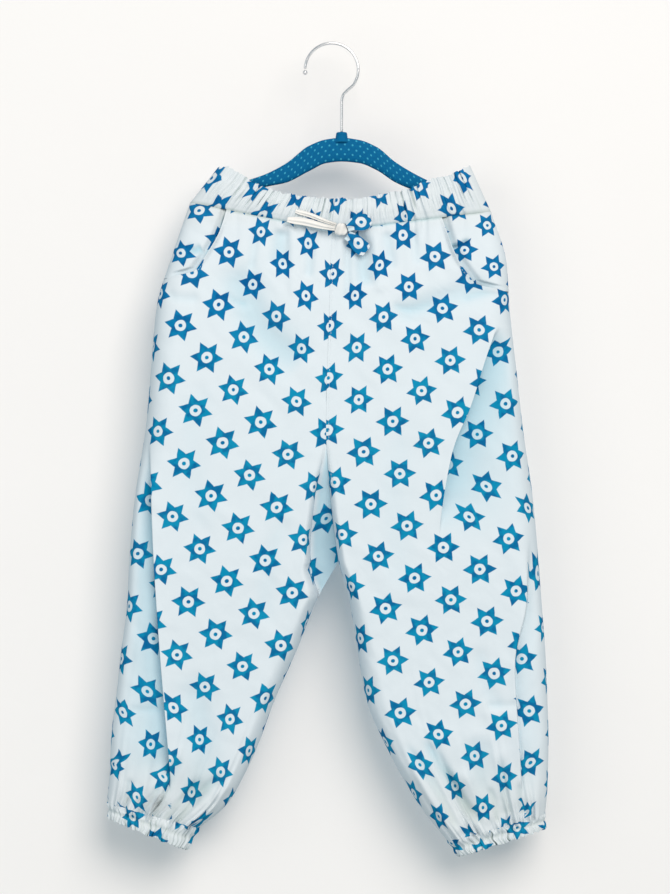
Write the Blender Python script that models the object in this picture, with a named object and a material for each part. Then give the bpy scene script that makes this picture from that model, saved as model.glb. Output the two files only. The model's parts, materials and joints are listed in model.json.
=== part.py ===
"""Child's pull-on cotton trousers, hung by the waist on a small shaped hanger.

The origin is the inside of the hook's crown, where it hangs. +Z is up, the front faces -Y and the
wearer's left is +X. Sizes are in millimetres until a mesh is made. The cloth is a thin wall: every
piece is a grid of outer points, and the same points moved in by the wall's thickness.
"""

import math
from collections import namedtuple

import bpy
import numpy as np

MM = 0.001

# Cloth
WALL = 1.2
SEAM_GAP = 0.3
HALF_GAP = SEAM_GAP / 2
SIDE_ROUND = 22.0
SHARP_DEGREES = 50
FRONT = -1
BACK = 1
RIGHT = -1
LEFT = 1

# Grids: columns across a panel, and rows down it for each section of the leg
FRONT_COLUMNS = 24
BACK_COLUMNS = 18
RECESS_COLUMNS = 0.12
EVEN_COLUMNS = 0.45
ROW_CLEARANCE = 0.07
FRONT_STEPS = (2, 1, 1, 1, 2, 3, 2, 1, 1, 1, 2, 3)
BACK_STEPS = (2, 1, 1, 1, 2, 2, 2, 1, 1, 1, 2, 2)

# Leg sections, from the waist seam to the ankle seam. Each runs from its inner end (the centre seam,
# then the inseam) to the side seam. front and back are the half depths, open_front and open_back
# are 1 where the panel meets its neighbour at full depth and 0 where it turns in to the inseam.
# recess is the share of the width that is set back beside the crotch, and turn is how
# far the inner edge takes to turn.
Section = namedtuple(
    "Section", "in_x in_z out_x out_z front back open_front open_back recess turn"
)
SECTIONS = {
    RIGHT: (
        Section(-2, -169, -131, -143, 12, 12, 1.0, 1.0, 0.00, 6),
        Section(-4, -197, -148, -193, 17, 18, 1.0, 1.0, 0.00, 6),
        Section(-5, -240, -161, -236, 22, 24, 1.0, 1.0, 0.00, 6),
        Section(-7, -294, -166, -290, 25, 28, 1.0, 1.0, 0.00, 6),
        Section(-8, -348, -171, -346, 27, 30, 1.0, 1.0, 0.00, 6),
        Section(-4, -411, -181, -411, 28, 30, 0.5, 0.8, 0.08, 6),
        Section(3, -467, -186, -466, 28, 29, 0.0, 0.0, 0.13, 7),
        Section(-17, -503, -188, -507, 27, 28, 0.0, 0.0, 0.00, 12),
        Section(-34, -546, -193, -546, 26, 27, 0.0, 0.0, 0.00, 16),
        Section(-54, -591, -197, -582, 25, 26, 0.0, 0.0, 0.00, 18),
        Section(-73, -641, -202, -623, 24, 24, 0.0, 0.0, 0.00, 18),
        Section(-99, -688, -204, -662, 20, 20, 0.0, 0.0, 0.00, 16),
        Section(-122, -707, -206, -684, 16, 16, 0.0, 0.0, 0.00, 14),
    ),
    LEFT: (
        Section(-2, -169, 141, -151, 12, 12, 1.0, 1.0, 0.00, 6),
        Section(-4, -197, 155, -197, 17, 18, 1.0, 1.0, 0.00, 6),
        Section(-5, -240, 158, -240, 22, 24, 1.0, 1.0, 0.00, 6),
        Section(-7, -294, 164, -294, 25, 28, 1.0, 1.0, 0.00, 6),
        Section(-8, -348, 170, -348, 27, 30, 1.0, 1.0, 0.00, 6),
        Section(-4, -411, 179, -411, 28, 30, 0.5, 0.8, 0.00, 6),
        Section(3, -467, 184, -467, 28, 29, 0.0, 0.0, 0.00, 7),
        Section(13, -503, 187, -507, 27, 28, 0.0, 0.0, 0.00, 12),
        Section(20, -546, 190, -546, 26, 27, 0.0, 0.0, 0.00, 16),
        Section(28, -591, 192, -591, 25, 26, 0.0, 0.0, 0.00, 18),
        Section(47, -636, 193, -629, 24, 24, 0.0, 0.0, 0.00, 18),
        Section(78, -690, 192, -672, 20, 20, 0.0, 0.0, 0.00, 16),
        Section(101, -719, 190, -694, 16, 16, 0.0, 0.0, 0.00, 14),
    ),
}

CROTCH = 6

# Large folds, as lines on the front view. height raises a soft ridge of that width along the line.
# drop sets the cloth back past the line, on its right hand going down the path, steeply over edge
# and coming forward again over reach.
Fold = namedtuple("Fold", "side face path height width drop edge reach")
FOLDS = (
    Fold(RIGHT, FRONT, ((-168, -345), (-166, -429), (-161, -519), (-153, -620), (-148, -676)),
         1.0, 9, 13, 4, 22),
    Fold(RIGHT, FRONT, ((-6, -360), (-32, -546), (-80, -640)), 2.0, 12, 0, 4, 20),
    Fold(RIGHT, FRONT, ((-94, -195), (-66, -258), (-26, -292)), -5.0, 16, 0, 4, 20),
    Fold(RIGHT, FRONT, ((-48, -166), (-51, -204)), -4.0, 7, 0, 4, 20),
    Fold(RIGHT, FRONT, ((-130, -560), (-118, -640), (-136, -690)), -3.0, 14, 0, 4, 20),
    Fold(LEFT, FRONT, ((148, -254), (137, -286), (123, -330), (108, -366), (92, -455)),
         2.5, 9, -11, 5, 26),
    Fold(LEFT, FRONT, ((175, -440), (174, -501), (163, -560), (168, -644), (170, -688)),
         1.5, 7, -9, 5, 14),
    Fold(LEFT, FRONT, ((24, -168), (27, -222)), -4.5, 8, 0, 4, 20),
    Fold(LEFT, FRONT, ((48, -248), (94, -232), (146, -217)), -3.5, 10, 0, 4, 20),
    Fold(LEFT, FRONT, ((60, -640), (96, -690), (118, -712)), 4.0, 9, 0, 4, 20),
    Fold(LEFT, FRONT, ((128, -620), (134, -704)), -3.0, 10, 0, 4, 20),
    Fold(RIGHT, BACK, ((-60, -190), (-84, -330), (-96, -440)), -4.0, 18, 0, 4, 20),
    Fold(RIGHT, BACK, ((-8, -440), (-70, -500), (-130, -530)), 4.5, 16, 0, 4, 20),
    Fold(RIGHT, BACK, ((-120, -540), (-134, -670)), -4.0, 14, 0, 4, 20),
    Fold(LEFT, BACK, ((66, -190), (92, -320), (104, -420)), -4.0, 18, 0, 4, 20),
    Fold(LEFT, BACK, ((8, -440), (74, -496), (128, -512)), 4.5, 16, 0, 4, 20),
    Fold(LEFT, BACK, ((116, -540), (138, -676)), -4.0, 14, 0, 4, 20),
)
FOLD_SAMPLES = 24
FOLD_FADE = 0.18

# Folds die away this near the outer and inner edges of a panel
OUTER_RIM = 14.0
INNER_RIM = 10.0

# The deepest fold on each front panel: a pair of the grid's columns runs along its two edges
GUIDE_FOLD = {RIGHT: FOLDS[0], LEFT: FOLDS[5]}
GUIDE_COLUMN = {RIGHT: 19, LEFT: 16}
GUIDE_FADE = 45.0

# Gathers: waves that start at an elastic and die away along the leg
WAIST_WAVES = 16
WAIST_WAVE_HEIGHT = 1.6
WAIST_WAVE_FADE = 26.0
ANKLE_WAVES = 7
ANKLE_WAVE_HEIGHT = 3.6
ANKLE_WAVE_FADE = 40.0
WAVE_WANDER = 0.35

# Slanted pocket mouths: points on the front panel's cut edge, and where down the leg the cut ends
POCKET_EDGE = {
    RIGHT: ((-95, -140), (-104, -170), (-114, -188), (-126, -206)),
    LEFT: ((91, -140), (99, -165), (110, -194), (125, -216)),
}
POCKET_END = {RIGHT: 1.24, LEFT: 1.44}
POCKET_TURN = 0.24
POCKET_TURN_ROWS = 4
POCKET_GAPE = 3.5
POCKET_GAPE_WIDTH = 0.07
POCKET_COLUMNS_FROM = 0.45
FACING_LAP = 12.0
FACING_STEP_FROM = 3.0
FACING_STEP_TO = 11.0
FACING_BELOW = WALL + 1.7
FACING_COLUMNS = 9
FACING_ROWS = 8

# Waistband: its upper edge, from the wearer's right to the left, and its half depth there
BAND_TOP = (
    (-106, -111), (-98, -111), (-86, -117), (-70, -127), (-44, -135), (-14, -139), (16, -140),
    (46, -135), (66, -131), (85, -123), (104, -118), (122, -109),
)
BAND_TOP_DEPTH = 10.5
BAND_BULGE = 1.5
BAND_COLUMNS = 72
BAND_ROWS = 2

# Ankle cuffs: the two ends of the hem on the front view
CUFF_HEM = {
    RIGHT: ((-134, -727), (-203, -699)),
    LEFT: ((112, -733), (189, -708)),
}
CUFF_HEM_DEPTH = 15.0
CUFF_GAP = 0.3
CUFF_COLUMNS = 104
CUFF_ROWS = 2
CUFF_WAVES = 26
CUFF_WAVE_HEIGHT = 1.1
CUFF_WAVE_SPREAD = 2.5

# Bow tied at the centre front
RIBBON_WALL = 1.0
RIBBON_TAPER = 0.25
RIBBON_BULGE = 0.8
KNOT_CENTRE = (5.5, -18.2, -168.2)
KNOT_RADII = (6.5, 4.2, 6.0)
Ribbon = namedtuple("Ribbon", "name start angle length width gap sag folded")
RIBBONS = (
    Ribbon("bow_loop_right", (-1.4, -18.6, -167.0), 167, 42, 8, 2.4, 1.5, True),
    Ribbon("bow_loop_left", (12.2, -18.6, -165.6), 18, 21, 15, 4.0, 1.0, True),
    Ribbon("bow_end_right", (0.2, -15.8, -163.2), 160, 38, 6, 0, 1.0, False),
    Ribbon("bow_end_left", (11.0, -18.6, -173.2), -38, 22, 14, 0, 1.0, False),
)
RIBBON_STEPS = 8

# Hanger: arm stations from the wearer's right to the left
Station = namedtuple("Station", "x top bottom thick")
ARMS = (
    Station(-121.5, -135.8, -143.9, 5.6),
    Station(-100, -129.5, -139.0, 7.4),
    Station(-79, -122.5, -133.5, 8.0),
    Station(-63, -117.0, -128.5, 8.0),
    Station(-44, -107.0, -124.5, 8.4),
    Station(-24, -91.5, -114.5, 9.0),
    Station(-8, -85.5, -107.0, 9.0),
    Station(6, -84.0, -105.5, 9.0),
    Station(22, -86.0, -107.0, 9.0),
    Station(38, -92.5, -113.5, 9.0),
    Station(54, -105.5, -124.0, 8.4),
    Station(70, -115.5, -131.0, 8.0),
    Station(87, -124.0, -136.5, 8.0),
    Station(110, -133.0, -143.0, 7.4),
    Station(131.5, -140.8, -148.9, 5.6),
)
ARM_END_ROUND = 4.1
ARM_STATION_STEPS = 2
ARM_SIDES = 12
ARM_SQUARENESS = 0.7
NECK_RADIUS = 5.0
NECK_TOP = -79.0
NECK_BOTTOM = -90.0
STEM_X = 6.0

# Hook: a wire bent round a crown, with a ball on its free tip
WIRE = 2.8
CROWN_X = -3.0
CROWN_Z = -22.4
CROWN_RADIUS = 24.0
CROWN_END = -34
SHANK = ((10.8, -41.4), (7.2, -45.8), (6.0, -52.0), (6.0, -62.0))
TIP_BALL_RADIUS = 2.3

PRINT_WHITE = (0.83, 0.88, 0.90, 1.0)
HANGER_BLUE = (0.005, 0.16, 0.34, 1.0)
WIRE_GREY = (0.75, 0.76, 0.78, 1.0)


def clear_scene():
    for old in list(bpy.data.objects):
        bpy.data.objects.remove(old)


def make_material(name, colour, roughness, metallic=0.0):
    material = bpy.data.materials.new(name)
    material.use_nodes = True
    shader = material.node_tree.nodes["Principled BSDF"]
    shader.inputs["Base Color"].default_value = colour
    shader.inputs["Roughness"].default_value = roughness
    shader.inputs["Metallic"].default_value = metallic
    material.diffuse_color = colour
    return material


def smooth(value):
    value = np.clip(value, 0.0, 1.0)
    return value * value * (3 - 2 * value)


def rise(value):
    """Quarter circle from 0 to 1."""
    return np.sqrt(1 - (1 - np.clip(value, 0.0, 1.0)) ** 2)


def soft_curve(knots, values, where):
    """Cubic through the values that never swings past a knot."""
    knots = np.asarray(knots, float)
    values = np.asarray(values, float)
    steps = np.diff(knots)
    slopes = np.diff(values) / steps
    tangents = np.zeros(len(knots))
    same = slopes[:-1] * slopes[1:] > 0
    harmonic = 2 * slopes[:-1] * slopes[1:] / np.where(same, slopes[:-1] + slopes[1:], 1)
    tangents[1:-1] = np.where(same, harmonic, 0)
    tangents[0] = slopes[0]
    tangents[-1] = slopes[-1]
    where = np.clip(where, knots[0], knots[-1])
    cell = np.clip(np.searchsorted(knots, where, side="right") - 1, 0, len(steps) - 1)
    size = steps[cell]
    part = (where - knots[cell]) / size
    return (
        (1 + 2 * part) * (1 - part) ** 2 * values[cell]
        + part * (1 - part) ** 2 * size * tangents[cell]
        + part**2 * (3 - 2 * part) * values[cell + 1]
        + part**2 * (part - 1) * size * tangents[cell + 1]
    )


def section_at(side, down):
    """The leg's section at each place down the leg, one array for each column of the table."""
    table = SECTIONS[side]
    places = range(len(table))
    found = Section(*(soft_curve(places, column, down) for column in zip(*table)))
    seam = Section(*zip(*table[: CROTCH + 1]))
    inseam = Section(*zip(*table[CROTCH:]))
    above = down <= CROTCH
    inner = {}
    for name in ("in_x", "in_z"):
        high = soft_curve(places[: CROTCH + 1], getattr(seam, name), down)
        low = soft_curve(places[CROTCH:], getattr(inseam, name), down)
        inner[name] = np.where(above, high, low)
    return found._replace(**inner)


def path_distance(path, x, z):
    """Signed distance to a fold's line (above 0 on its right going along), and the part along it."""
    path = np.array(path, float)
    fine = np.linspace(0, len(path) - 1, FOLD_SAMPLES)
    line = np.stack([soft_curve(range(len(path)), axis, fine) for axis in path.T], axis=1)
    nearest = np.full(np.shape(x), 1e9)
    signed = np.zeros(np.shape(x))
    along = np.zeros(np.shape(x))
    for i, (start, end) in enumerate(zip(line[:-1], line[1:])):
        run = end - start
        length = np.hypot(*run)
        part = np.clip(((x - start[0]) * run[0] + (z - start[1]) * run[1]) / length**2, 0, 1)
        off_x = x - start[0] - part * run[0]
        off_z = z - start[1] - part * run[1]
        distance = np.hypot(off_x, off_z)
        right_hand = off_x * run[1] - off_z * run[0]
        closer = distance < nearest
        nearest = np.where(closer, distance, nearest)
        signed = np.where(closer, distance * np.sign(right_hand), signed)
        along = np.where(closer, (i + part) / (FOLD_SAMPLES - 1), along)
    return signed, along


def fold_depth(side, face, x, z):
    """How far the folds move the cloth outwards."""
    total = np.zeros(np.shape(x))
    for fold in FOLDS:
        if (fold.side, fold.face) != (side, face):
            continue
        signed, along = path_distance(fold.path, x, z)
        fade = smooth(along / FOLD_FADE) * smooth((1 - along) / FOLD_FADE)
        total += fold.height * fade * np.exp(-((signed / fold.width) ** 2))
        past = signed if fold.drop > 0 else -signed
        shelf = smooth(past / fold.edge + 0.5) * np.exp(-np.maximum(past, 0) / fold.reach)
        total -= abs(fold.drop) * fade * shelf
    return total


def waves(count, part, seed):
    """Uneven gathers across a width, between -1 and 1."""
    wander = np.sin(2 * np.pi * (part * 2.3 + seed)) + np.sin(2 * np.pi * (part * 5.1 + 2 * seed))
    height = 0.75 + 0.25 * np.sin(2 * np.pi * (part * 3.7 + 3 * seed))
    return height * np.cos(2 * np.pi * (count * part + WAVE_WANDER * wander))


def waist_wave(side, x, z_below):
    """Gathers under and along the waistband, by place across the whole waist."""
    width = SECTIONS[LEFT][0].out_x - SECTIONS[RIGHT][0].out_x
    part = (x - SECTIONS[RIGHT][0].out_x) / width
    ends = smooth(part / 0.1) * smooth((1 - part) / 0.1)
    fade = np.exp(-z_below / WAIST_WAVE_FADE)
    return WAIST_WAVE_HEIGHT * ends * fade * waves(WAIST_WAVES, part, 0.1)


def panel_points(side, face, share, down):
    """Outer points of a leg panel. share is 0 at its inner edge and 1 at the side seam."""
    section = section_at(side, down)
    run_x = section.out_x - section.in_x
    run_z = section.out_z - section.in_z
    width = np.hypot(run_x, run_z)
    x = section.in_x + run_x * share
    z = section.in_z + run_z * share
    half = section.front if face == FRONT else section.back
    opened = section.open_front if face == FRONT else section.open_back
    recess = section.recess if face == FRONT else 0 * section.recess
    outer_turn = rise((1 - share) * width / SIDE_ROUND)
    inner_turn = rise((share - recess) * width / section.turn)
    cover = outer_turn * (opened + (1 - opened) * inner_turn)
    depth = half * cover
    folds = fold_depth(side, face, x, z)
    top = SECTIONS[side][0]
    z_top = top.in_z + (top.out_z - top.in_z) * share
    folds = folds + waist_wave(side, x, np.maximum(z_top - z, 0))
    to_ankle = (len(SECTIONS[side]) - 1 - down) * ANKLE_WAVE_FADE
    ankle_fade = np.exp(-to_ankle / ANKLE_WAVE_FADE)
    folds = folds + ANKLE_WAVE_HEIGHT * ankle_fade * waves(ANKLE_WAVES, share, 0.3 * side)
    inner_rim = opened + (1 - opened) * smooth(share * width / INNER_RIM)
    rim = smooth((1 - share) * width / OUTER_RIM) * inner_rim
    depth = np.maximum(depth + folds * rim, 0)
    return np.stack([x + side * HALF_GAP, face * (depth + HALF_GAP), z], axis=-1)


def wall_normals(points, outward):
    """Level directions out of the cloth at each grid point."""
    across = np.gradient(points, axis=1)
    downward = np.gradient(points, axis=0)
    normal = np.cross(across, downward)
    normal[..., 2] = 0
    normal /= np.maximum(np.linalg.norm(normal, axis=-1, keepdims=True), 1e-9)
    flip = np.sign((normal * outward).sum(axis=-1, keepdims=True))
    return normal * np.where(flip == 0, 1, flip)


def grid_mesh(name, outer, inner, ring, material):
    """A closed wall between two grids of points: rows down, columns across, joined round in a ring."""
    rows, columns = outer.shape[:2]
    points = np.concatenate([outer.reshape(-1, 3), inner.reshape(-1, 3)]) * MM
    shift = rows * columns

    def at(row, column, layer):
        return layer * shift + row * columns + column % columns

    faces = []
    last = columns if ring else columns - 1
    for row in range(rows - 1):
        for column in range(last):
            for layer in (0, 1):
                quad = (
                    at(row, column, layer),
                    at(row + 1, column, layer),
                    at(row + 1, column + 1, layer),
                    at(row, column + 1, layer),
                )
                faces.append(quad if layer == 0 else quad[::-1])
    for column in range(last):
        for row, order in ((0, 1), (rows - 1, -1)):
            quad = (
                at(row, column, 0),
                at(row, column + 1, 0),
                at(row, column + 1, 1),
                at(row, column, 1),
            )
            faces.append(quad[::order])
    if not ring:
        for row in range(rows - 1):
            for column, order in ((0, -1), (columns - 1, 1)):
                quad = (
                    at(row, column, 0),
                    at(row + 1, column, 0),
                    at(row + 1, column, 1),
                    at(row, column, 1),
                )
                faces.append(quad[::order])
    return add_mesh(name, points, faces, material)


def add_mesh(name, points, faces, material):
    mesh = bpy.data.meshes.new(name)
    mesh.from_pydata([tuple(point) for point in points], [], faces)
    mesh.update()
    if signed_volume(mesh) < 0:
        mesh.flip_normals()
    mesh.materials.append(material)
    mesh.shade_smooth()
    mesh.set_sharp_from_angle(angle=math.radians(SHARP_DEGREES))
    piece = bpy.data.objects.new(name, mesh)
    bpy.context.scene.collection.objects.link(piece)
    return piece


def signed_volume(mesh):
    mesh.calc_loop_triangles()
    points = np.array([vertex.co for vertex in mesh.vertices])
    corners = points[np.array([triangle.vertices for triangle in mesh.loop_triangles])]
    return float(np.einsum("ij,ij->i", corners[:, 0], np.cross(corners[:, 1], corners[:, 2])).sum())


def spaced_columns(count):
    """Places from 0 to 1, closer together near both edges, where the cloth turns."""
    even = np.linspace(0, 1, count + 1)
    return EVEN_COLUMNS * even + (1 - EVEN_COLUMNS) * (0.5 - 0.5 * np.cos(np.pi * even))


def spaced_rows(steps, extra=()):
    """Places down the leg: each section is cut in that many rows, with extra places among them."""
    places = {0.0}
    for section, count in enumerate(steps):
        places.update(section + (i + 1) / count for i in range(count))
    kept = [place for place in places if all(abs(place - one) > ROW_CLEARANCE for one in extra)]
    return np.array(sorted(kept + list(extra)))


def share_of_line(side, down, heights, line_x):
    """Where a line on the front view, given by height, crosses each section of the leg."""
    section = section_at(side, down)
    share = np.full(np.shape(down), 0.8)
    for _ in range(8):
        z = section.in_z + (section.out_z - section.in_z) * share
        share = (soft_curve(heights, line_x, -z) - section.in_x) / (section.out_x - section.in_x)
    return share


def pocket_share(side, down):
    """Where the pocket mouth crosses each section of the leg."""
    edge = np.array(POCKET_EDGE[side], float)
    return share_of_line(side, down, -edge[:, 1], edge[:, 0])


def guided_columns(side, down, columns):
    """The columns' places on each section, with two of them along the edges of the deepest fold."""
    path = np.array(GUIDE_FOLD[side].path, float)
    share = share_of_line(side, down, -path[:, 1], path[:, 0])
    section = section_at(side, down)
    width = np.abs(section.out_x - section.in_x)
    z = section.in_z + (section.out_z - section.in_z) * share
    weight = smooth((path[0, 1] - z) / GUIDE_FADE) * smooth((z - path[-1, 1]) / GUIDE_FADE)
    first = GUIDE_COLUMN[side]
    low, high = columns[first], columns[first + 1]
    half_edge = GUIDE_FOLD[side].edge / 2 / width
    fold_low = low * (1 - weight) + (share - half_edge) * weight
    fold_high = high * (1 - weight) + (share + half_edge) * weight
    rows = [np.interp(columns, (0, low, high, 1), (0, a, b, 1)) for a, b in zip(fold_low, fold_high)]
    return np.array(rows)


def front_cut(side, down):
    """The outer edge of the front panel: along the pocket mouth, then out to the side seam."""
    end = POCKET_END[side]
    mouth = pocket_share(side, np.minimum(down, end))
    return mouth + (1 - mouth) * smooth((down - end) / POCKET_TURN)


def lay_wall(points, outward, side=0, face=0, wall=WALL):
    """Outer and inner points of a wall, kept clear of the mid plane of the trousers."""
    normal = wall_normals(points, outward)
    outer = points.copy()
    if face:
        clear = HALF_GAP + wall * np.abs(normal[..., 1])
        outer[..., 1] = face * np.maximum(face * outer[..., 1], clear)
    inner = outer - normal * wall
    if face:
        inner[..., 1] = face * np.maximum(face * inner[..., 1], HALF_GAP)
    if side:
        inward = side * (inner[:, 0, 0] - outer[:, 0, 0])
        inner[:, 0, 0] = outer[:, 0, 0] + side * np.maximum(inward, 0)
    return outer, inner


def outward_of(points, side, face):
    """A rough outward direction for each point of a panel, to tell the wall's two faces apart."""
    outward = np.zeros_like(points)
    outward[..., 1] = face
    ends = np.linspace(-1, 1, points.shape[1])
    outward[..., 0] = side * np.sign(ends) * np.abs(ends) ** 8
    return outward


def make_leg_panel(name, side, face, material):
    if face == FRONT:
        end = POCKET_END[side]
        turn_rows = end + POCKET_TURN * np.linspace(0, 1, POCKET_TURN_ROWS + 1)
        down = spaced_rows(FRONT_STEPS, tuple(turn_rows))
        columns = spaced_columns(FRONT_COLUMNS)
        cut = front_cut(side, down)
    else:
        down = spaced_rows(BACK_STEPS)
        columns = spaced_columns(BACK_COLUMNS)
        cut = np.ones(len(down))
    column, row = np.meshgrid(columns, down)
    share = column
    if face == FRONT:
        share = guided_columns(side, down, columns)
        recess = section_at(side, row).recess
        share = share + recess * (smooth(column / RECESS_COLUMNS) - share) * (column < RECESS_COLUMNS)
    start = POCKET_COLUMNS_FROM
    past = np.maximum(share - start, 0)
    share = np.minimum(share, start) + past * (cut[:, None] - start) / (1 - start)
    points = panel_points(side, face, share, row)
    if face == FRONT:
        near_edge = np.exp(-(((1 - column) / POCKET_GAPE_WIDTH) ** 2))
        points[..., 1] -= POCKET_GAPE * near_edge * np.sin(np.pi * np.clip(row / end, 0, 1))
    points[0, :, 2] -= HALF_GAP
    points[-1, :, 2] += CUFF_GAP
    outer, inner = lay_wall(points, outward_of(points, side, face), side, face)
    grid_mesh(name, outer, inner, False, material)


def make_hip_facing(name, side, material):
    """The piece behind a pocket mouth: it shows past the cut edge and runs in under the front panel."""
    end = POCKET_END[side]
    turn_rows = end + POCKET_TURN * np.linspace(0, 1, POCKET_TURN_ROWS + 1)
    down = np.append(np.linspace(0, end, FACING_ROWS), turn_rows[1:])
    width = abs(SECTIONS[side][1].out_x - SECTIONS[side][1].in_x)
    cut = front_cut(side, down)
    start = cut - FACING_LAP / width
    column, row = np.meshgrid(spaced_columns(FACING_COLUMNS), down)
    share = start[:, None] + (1 - start[:, None]) * column
    points = panel_points(side, FRONT, share, row)
    past_edge = (share - cut[:, None]) * width
    beside = smooth((FACING_STEP_TO - past_edge) / (FACING_STEP_TO - FACING_STEP_FROM))
    under = np.maximum(beside, smooth((row - end + 0.35) / 0.25))
    points[0, :, 2] -= HALF_GAP
    outward = outward_of(points, side, FRONT)
    outward[..., 0] = side * column**4
    normal = wall_normals(points, outward)
    points = points - normal * (FACING_BELOW * under)[..., None]
    outer, inner = lay_wall(points, outward, 0, FRONT)
    grid_mesh(name, outer, inner, False, material)


def make_band_half(name, face, material):
    """Half of the waistband casing, from side to side."""
    right_end = SECTIONS[RIGHT][0]
    left_end = SECTIONS[LEFT][0]
    across = spaced_columns(BAND_COLUMNS)
    seam_x = (right_end.out_x, right_end.in_x, left_end.out_x)
    seam_z = (right_end.out_z, right_end.in_z, left_end.out_z)
    low_x = seam_x[0] + (seam_x[2] - seam_x[0]) * across
    low_z = np.interp(low_x, seam_x, seam_z)
    top = np.array(BAND_TOP, float)
    top_x = top[0, 0] + (top[-1, 0] - top[0, 0]) * across
    top_z = soft_curve(top[:, 0], top[:, 1], top_x)
    points = np.zeros((BAND_ROWS + 1, BAND_COLUMNS + 1, 3))
    turn = rise((low_x - seam_x[0]) / SIDE_ROUND) * rise((seam_x[2] - low_x) / SIDE_ROUND)
    gathers = waist_wave(RIGHT, low_x, 0)
    for row in range(BAND_ROWS + 1):
        up = row / BAND_ROWS
        half = right_end.front * (1 - up) + BAND_TOP_DEPTH * up
        depth = half * turn + BAND_BULGE * math.sin(math.pi * up) * turn + gathers
        points[row, :, 0] = low_x * (1 - up) + top_x * up
        points[row, :, 1] = face * (np.maximum(depth, 0) + HALF_GAP)
        points[row, :, 2] = low_z * (1 - up) + top_z * up
    points[0, :, 2] += HALF_GAP
    outward = outward_of(points, LEFT, face)
    outer, inner = lay_wall(points, outward, 0, face)
    grid_mesh(name, outer, inner, False, material)


def make_cuff(name, side, material):
    """Gathered ring at the ankle, from the leg's last section to the hem."""
    last = SECTIONS[side][-1]
    hem = CUFF_HEM[side]
    angle = 2 * np.pi * np.arange(CUFF_COLUMNS) / CUFF_COLUMNS
    share = 0.5 - 0.5 * np.cos(angle)
    face = np.sign(np.sin(angle))
    points = np.zeros((CUFF_ROWS + 1, CUFF_COLUMNS, 3))
    for row in range(CUFF_ROWS + 1):
        down = row / CUFF_ROWS
        in_x = last.in_x * (1 - down) + hem[0][0] * down
        in_z = last.in_z * (1 - down) + hem[0][1] * down
        out_x = last.out_x * (1 - down) + hem[1][0] * down
        out_z = last.out_z * (1 - down) + hem[1][1] * down
        half = last.front * (1 - down) + CUFF_HEM_DEPTH * down
        width = math.hypot(out_x - in_x, out_z - in_z)
        turn = rise(share * width / last.turn) * rise((1 - share) * width / SIDE_ROUND)
        puff = CUFF_WAVE_HEIGHT * waves(CUFF_WAVES, angle / (2 * np.pi), 0.0)
        x = in_x + (out_x - in_x) * share
        z = in_z + (out_z - in_z) * share
        y = face * half * turn
        away = np.stack([x - (in_x + out_x) / 2, y * CUFF_WAVE_SPREAD], axis=-1)
        away /= np.maximum(np.linalg.norm(away, axis=-1, keepdims=True), 1e-9)
        points[row, :, 0] = x + away[:, 0] * puff + side * HALF_GAP
        points[row, :, 1] = y + away[:, 1] * puff
        points[row, :, 2] = z
    points[0, :, 2] -= CUFF_GAP
    centre = points.mean(axis=1, keepdims=True)
    normal = ring_normals(points, points - centre)
    grid_mesh(name, points, points - normal * WALL, True, material)


def ring_normals(points, outward):
    """Level directions out of a ring at each of its points."""
    across = np.roll(points, -1, axis=1) - np.roll(points, 1, axis=1)
    normal = np.stack([across[..., 1], -across[..., 0], 0 * across[..., 0]], axis=-1)
    normal /= np.maximum(np.linalg.norm(normal, axis=-1, keepdims=True), 1e-9)
    total = float((normal * outward).sum())
    return normal * (1 if total > 0 else -1)


def make_ribbon(ribbon, material):
    """A narrow strip of the cloth, laid flat or folded back on itself as a bow's loop."""
    straight = np.linspace(0, ribbon.length, RIBBON_STEPS)
    path = [(reach, 0.0) for reach in straight]
    if ribbon.folded:
        bend = ribbon.gap / 2
        turns = np.linspace(-90, 90, RIBBON_STEPS)[1:-1]
        path = [(reach, -bend) for reach in straight]
        path += [
            (ribbon.length + bend * math.cos(math.radians(turn)), bend * math.sin(math.radians(turn)))
            for turn in turns
        ]
        path += [(reach, bend) for reach in straight[::-1]]
    path = np.array(path)
    heading = np.gradient(path, axis=0)
    heading /= np.linalg.norm(heading, axis=1, keepdims=True)
    across = np.stack([-heading[:, 1], heading[:, 0]], axis=1)
    angle = math.radians(ribbon.angle)
    grids = []
    for offset in (-RIBBON_WALL / 2, RIBBON_WALL / 2):
        line = path + across * offset
        rows = []
        for edge in (-0.5, 0.0, 0.5):
            reach = line[:, 0] / ribbon.length
            spread = edge * ribbon.width * (1 - RIBBON_TAPER * (1 - reach))
            sag = -ribbon.sag * reach**2
            bow_out = -RIBBON_BULGE * (1 - (2 * edge) ** 2)
            x = ribbon.start[0] + line[:, 0] * math.cos(angle) - spread * math.sin(angle)
            z = ribbon.start[2] + line[:, 0] * math.sin(angle) + spread * math.cos(angle) + sag
            y = ribbon.start[1] + line[:, 1] + bow_out
            rows.append(np.stack([x, y, z], axis=-1))
        grids.append(np.array(rows))
    grid_mesh(ribbon.name, grids[0], grids[1], False, material)


def make_knot(material):
    bpy.ops.mesh.primitive_uv_sphere_add(segments=12, ring_count=8, radius=1.0)
    knot = bpy.context.object
    knot.name = "bow_knot"
    knot.data.name = "bow_knot"
    for vertex in knot.data.vertices:
        for axis in range(3):
            swell = math.copysign(abs(vertex.co[axis]) ** 0.8, vertex.co[axis])
            vertex.co[axis] = swell * KNOT_RADII[axis] * MM
    knot.location = [value * MM for value in KNOT_CENTRE]
    knot.data.materials.append(material)
    knot.data.shade_smooth()


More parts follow.
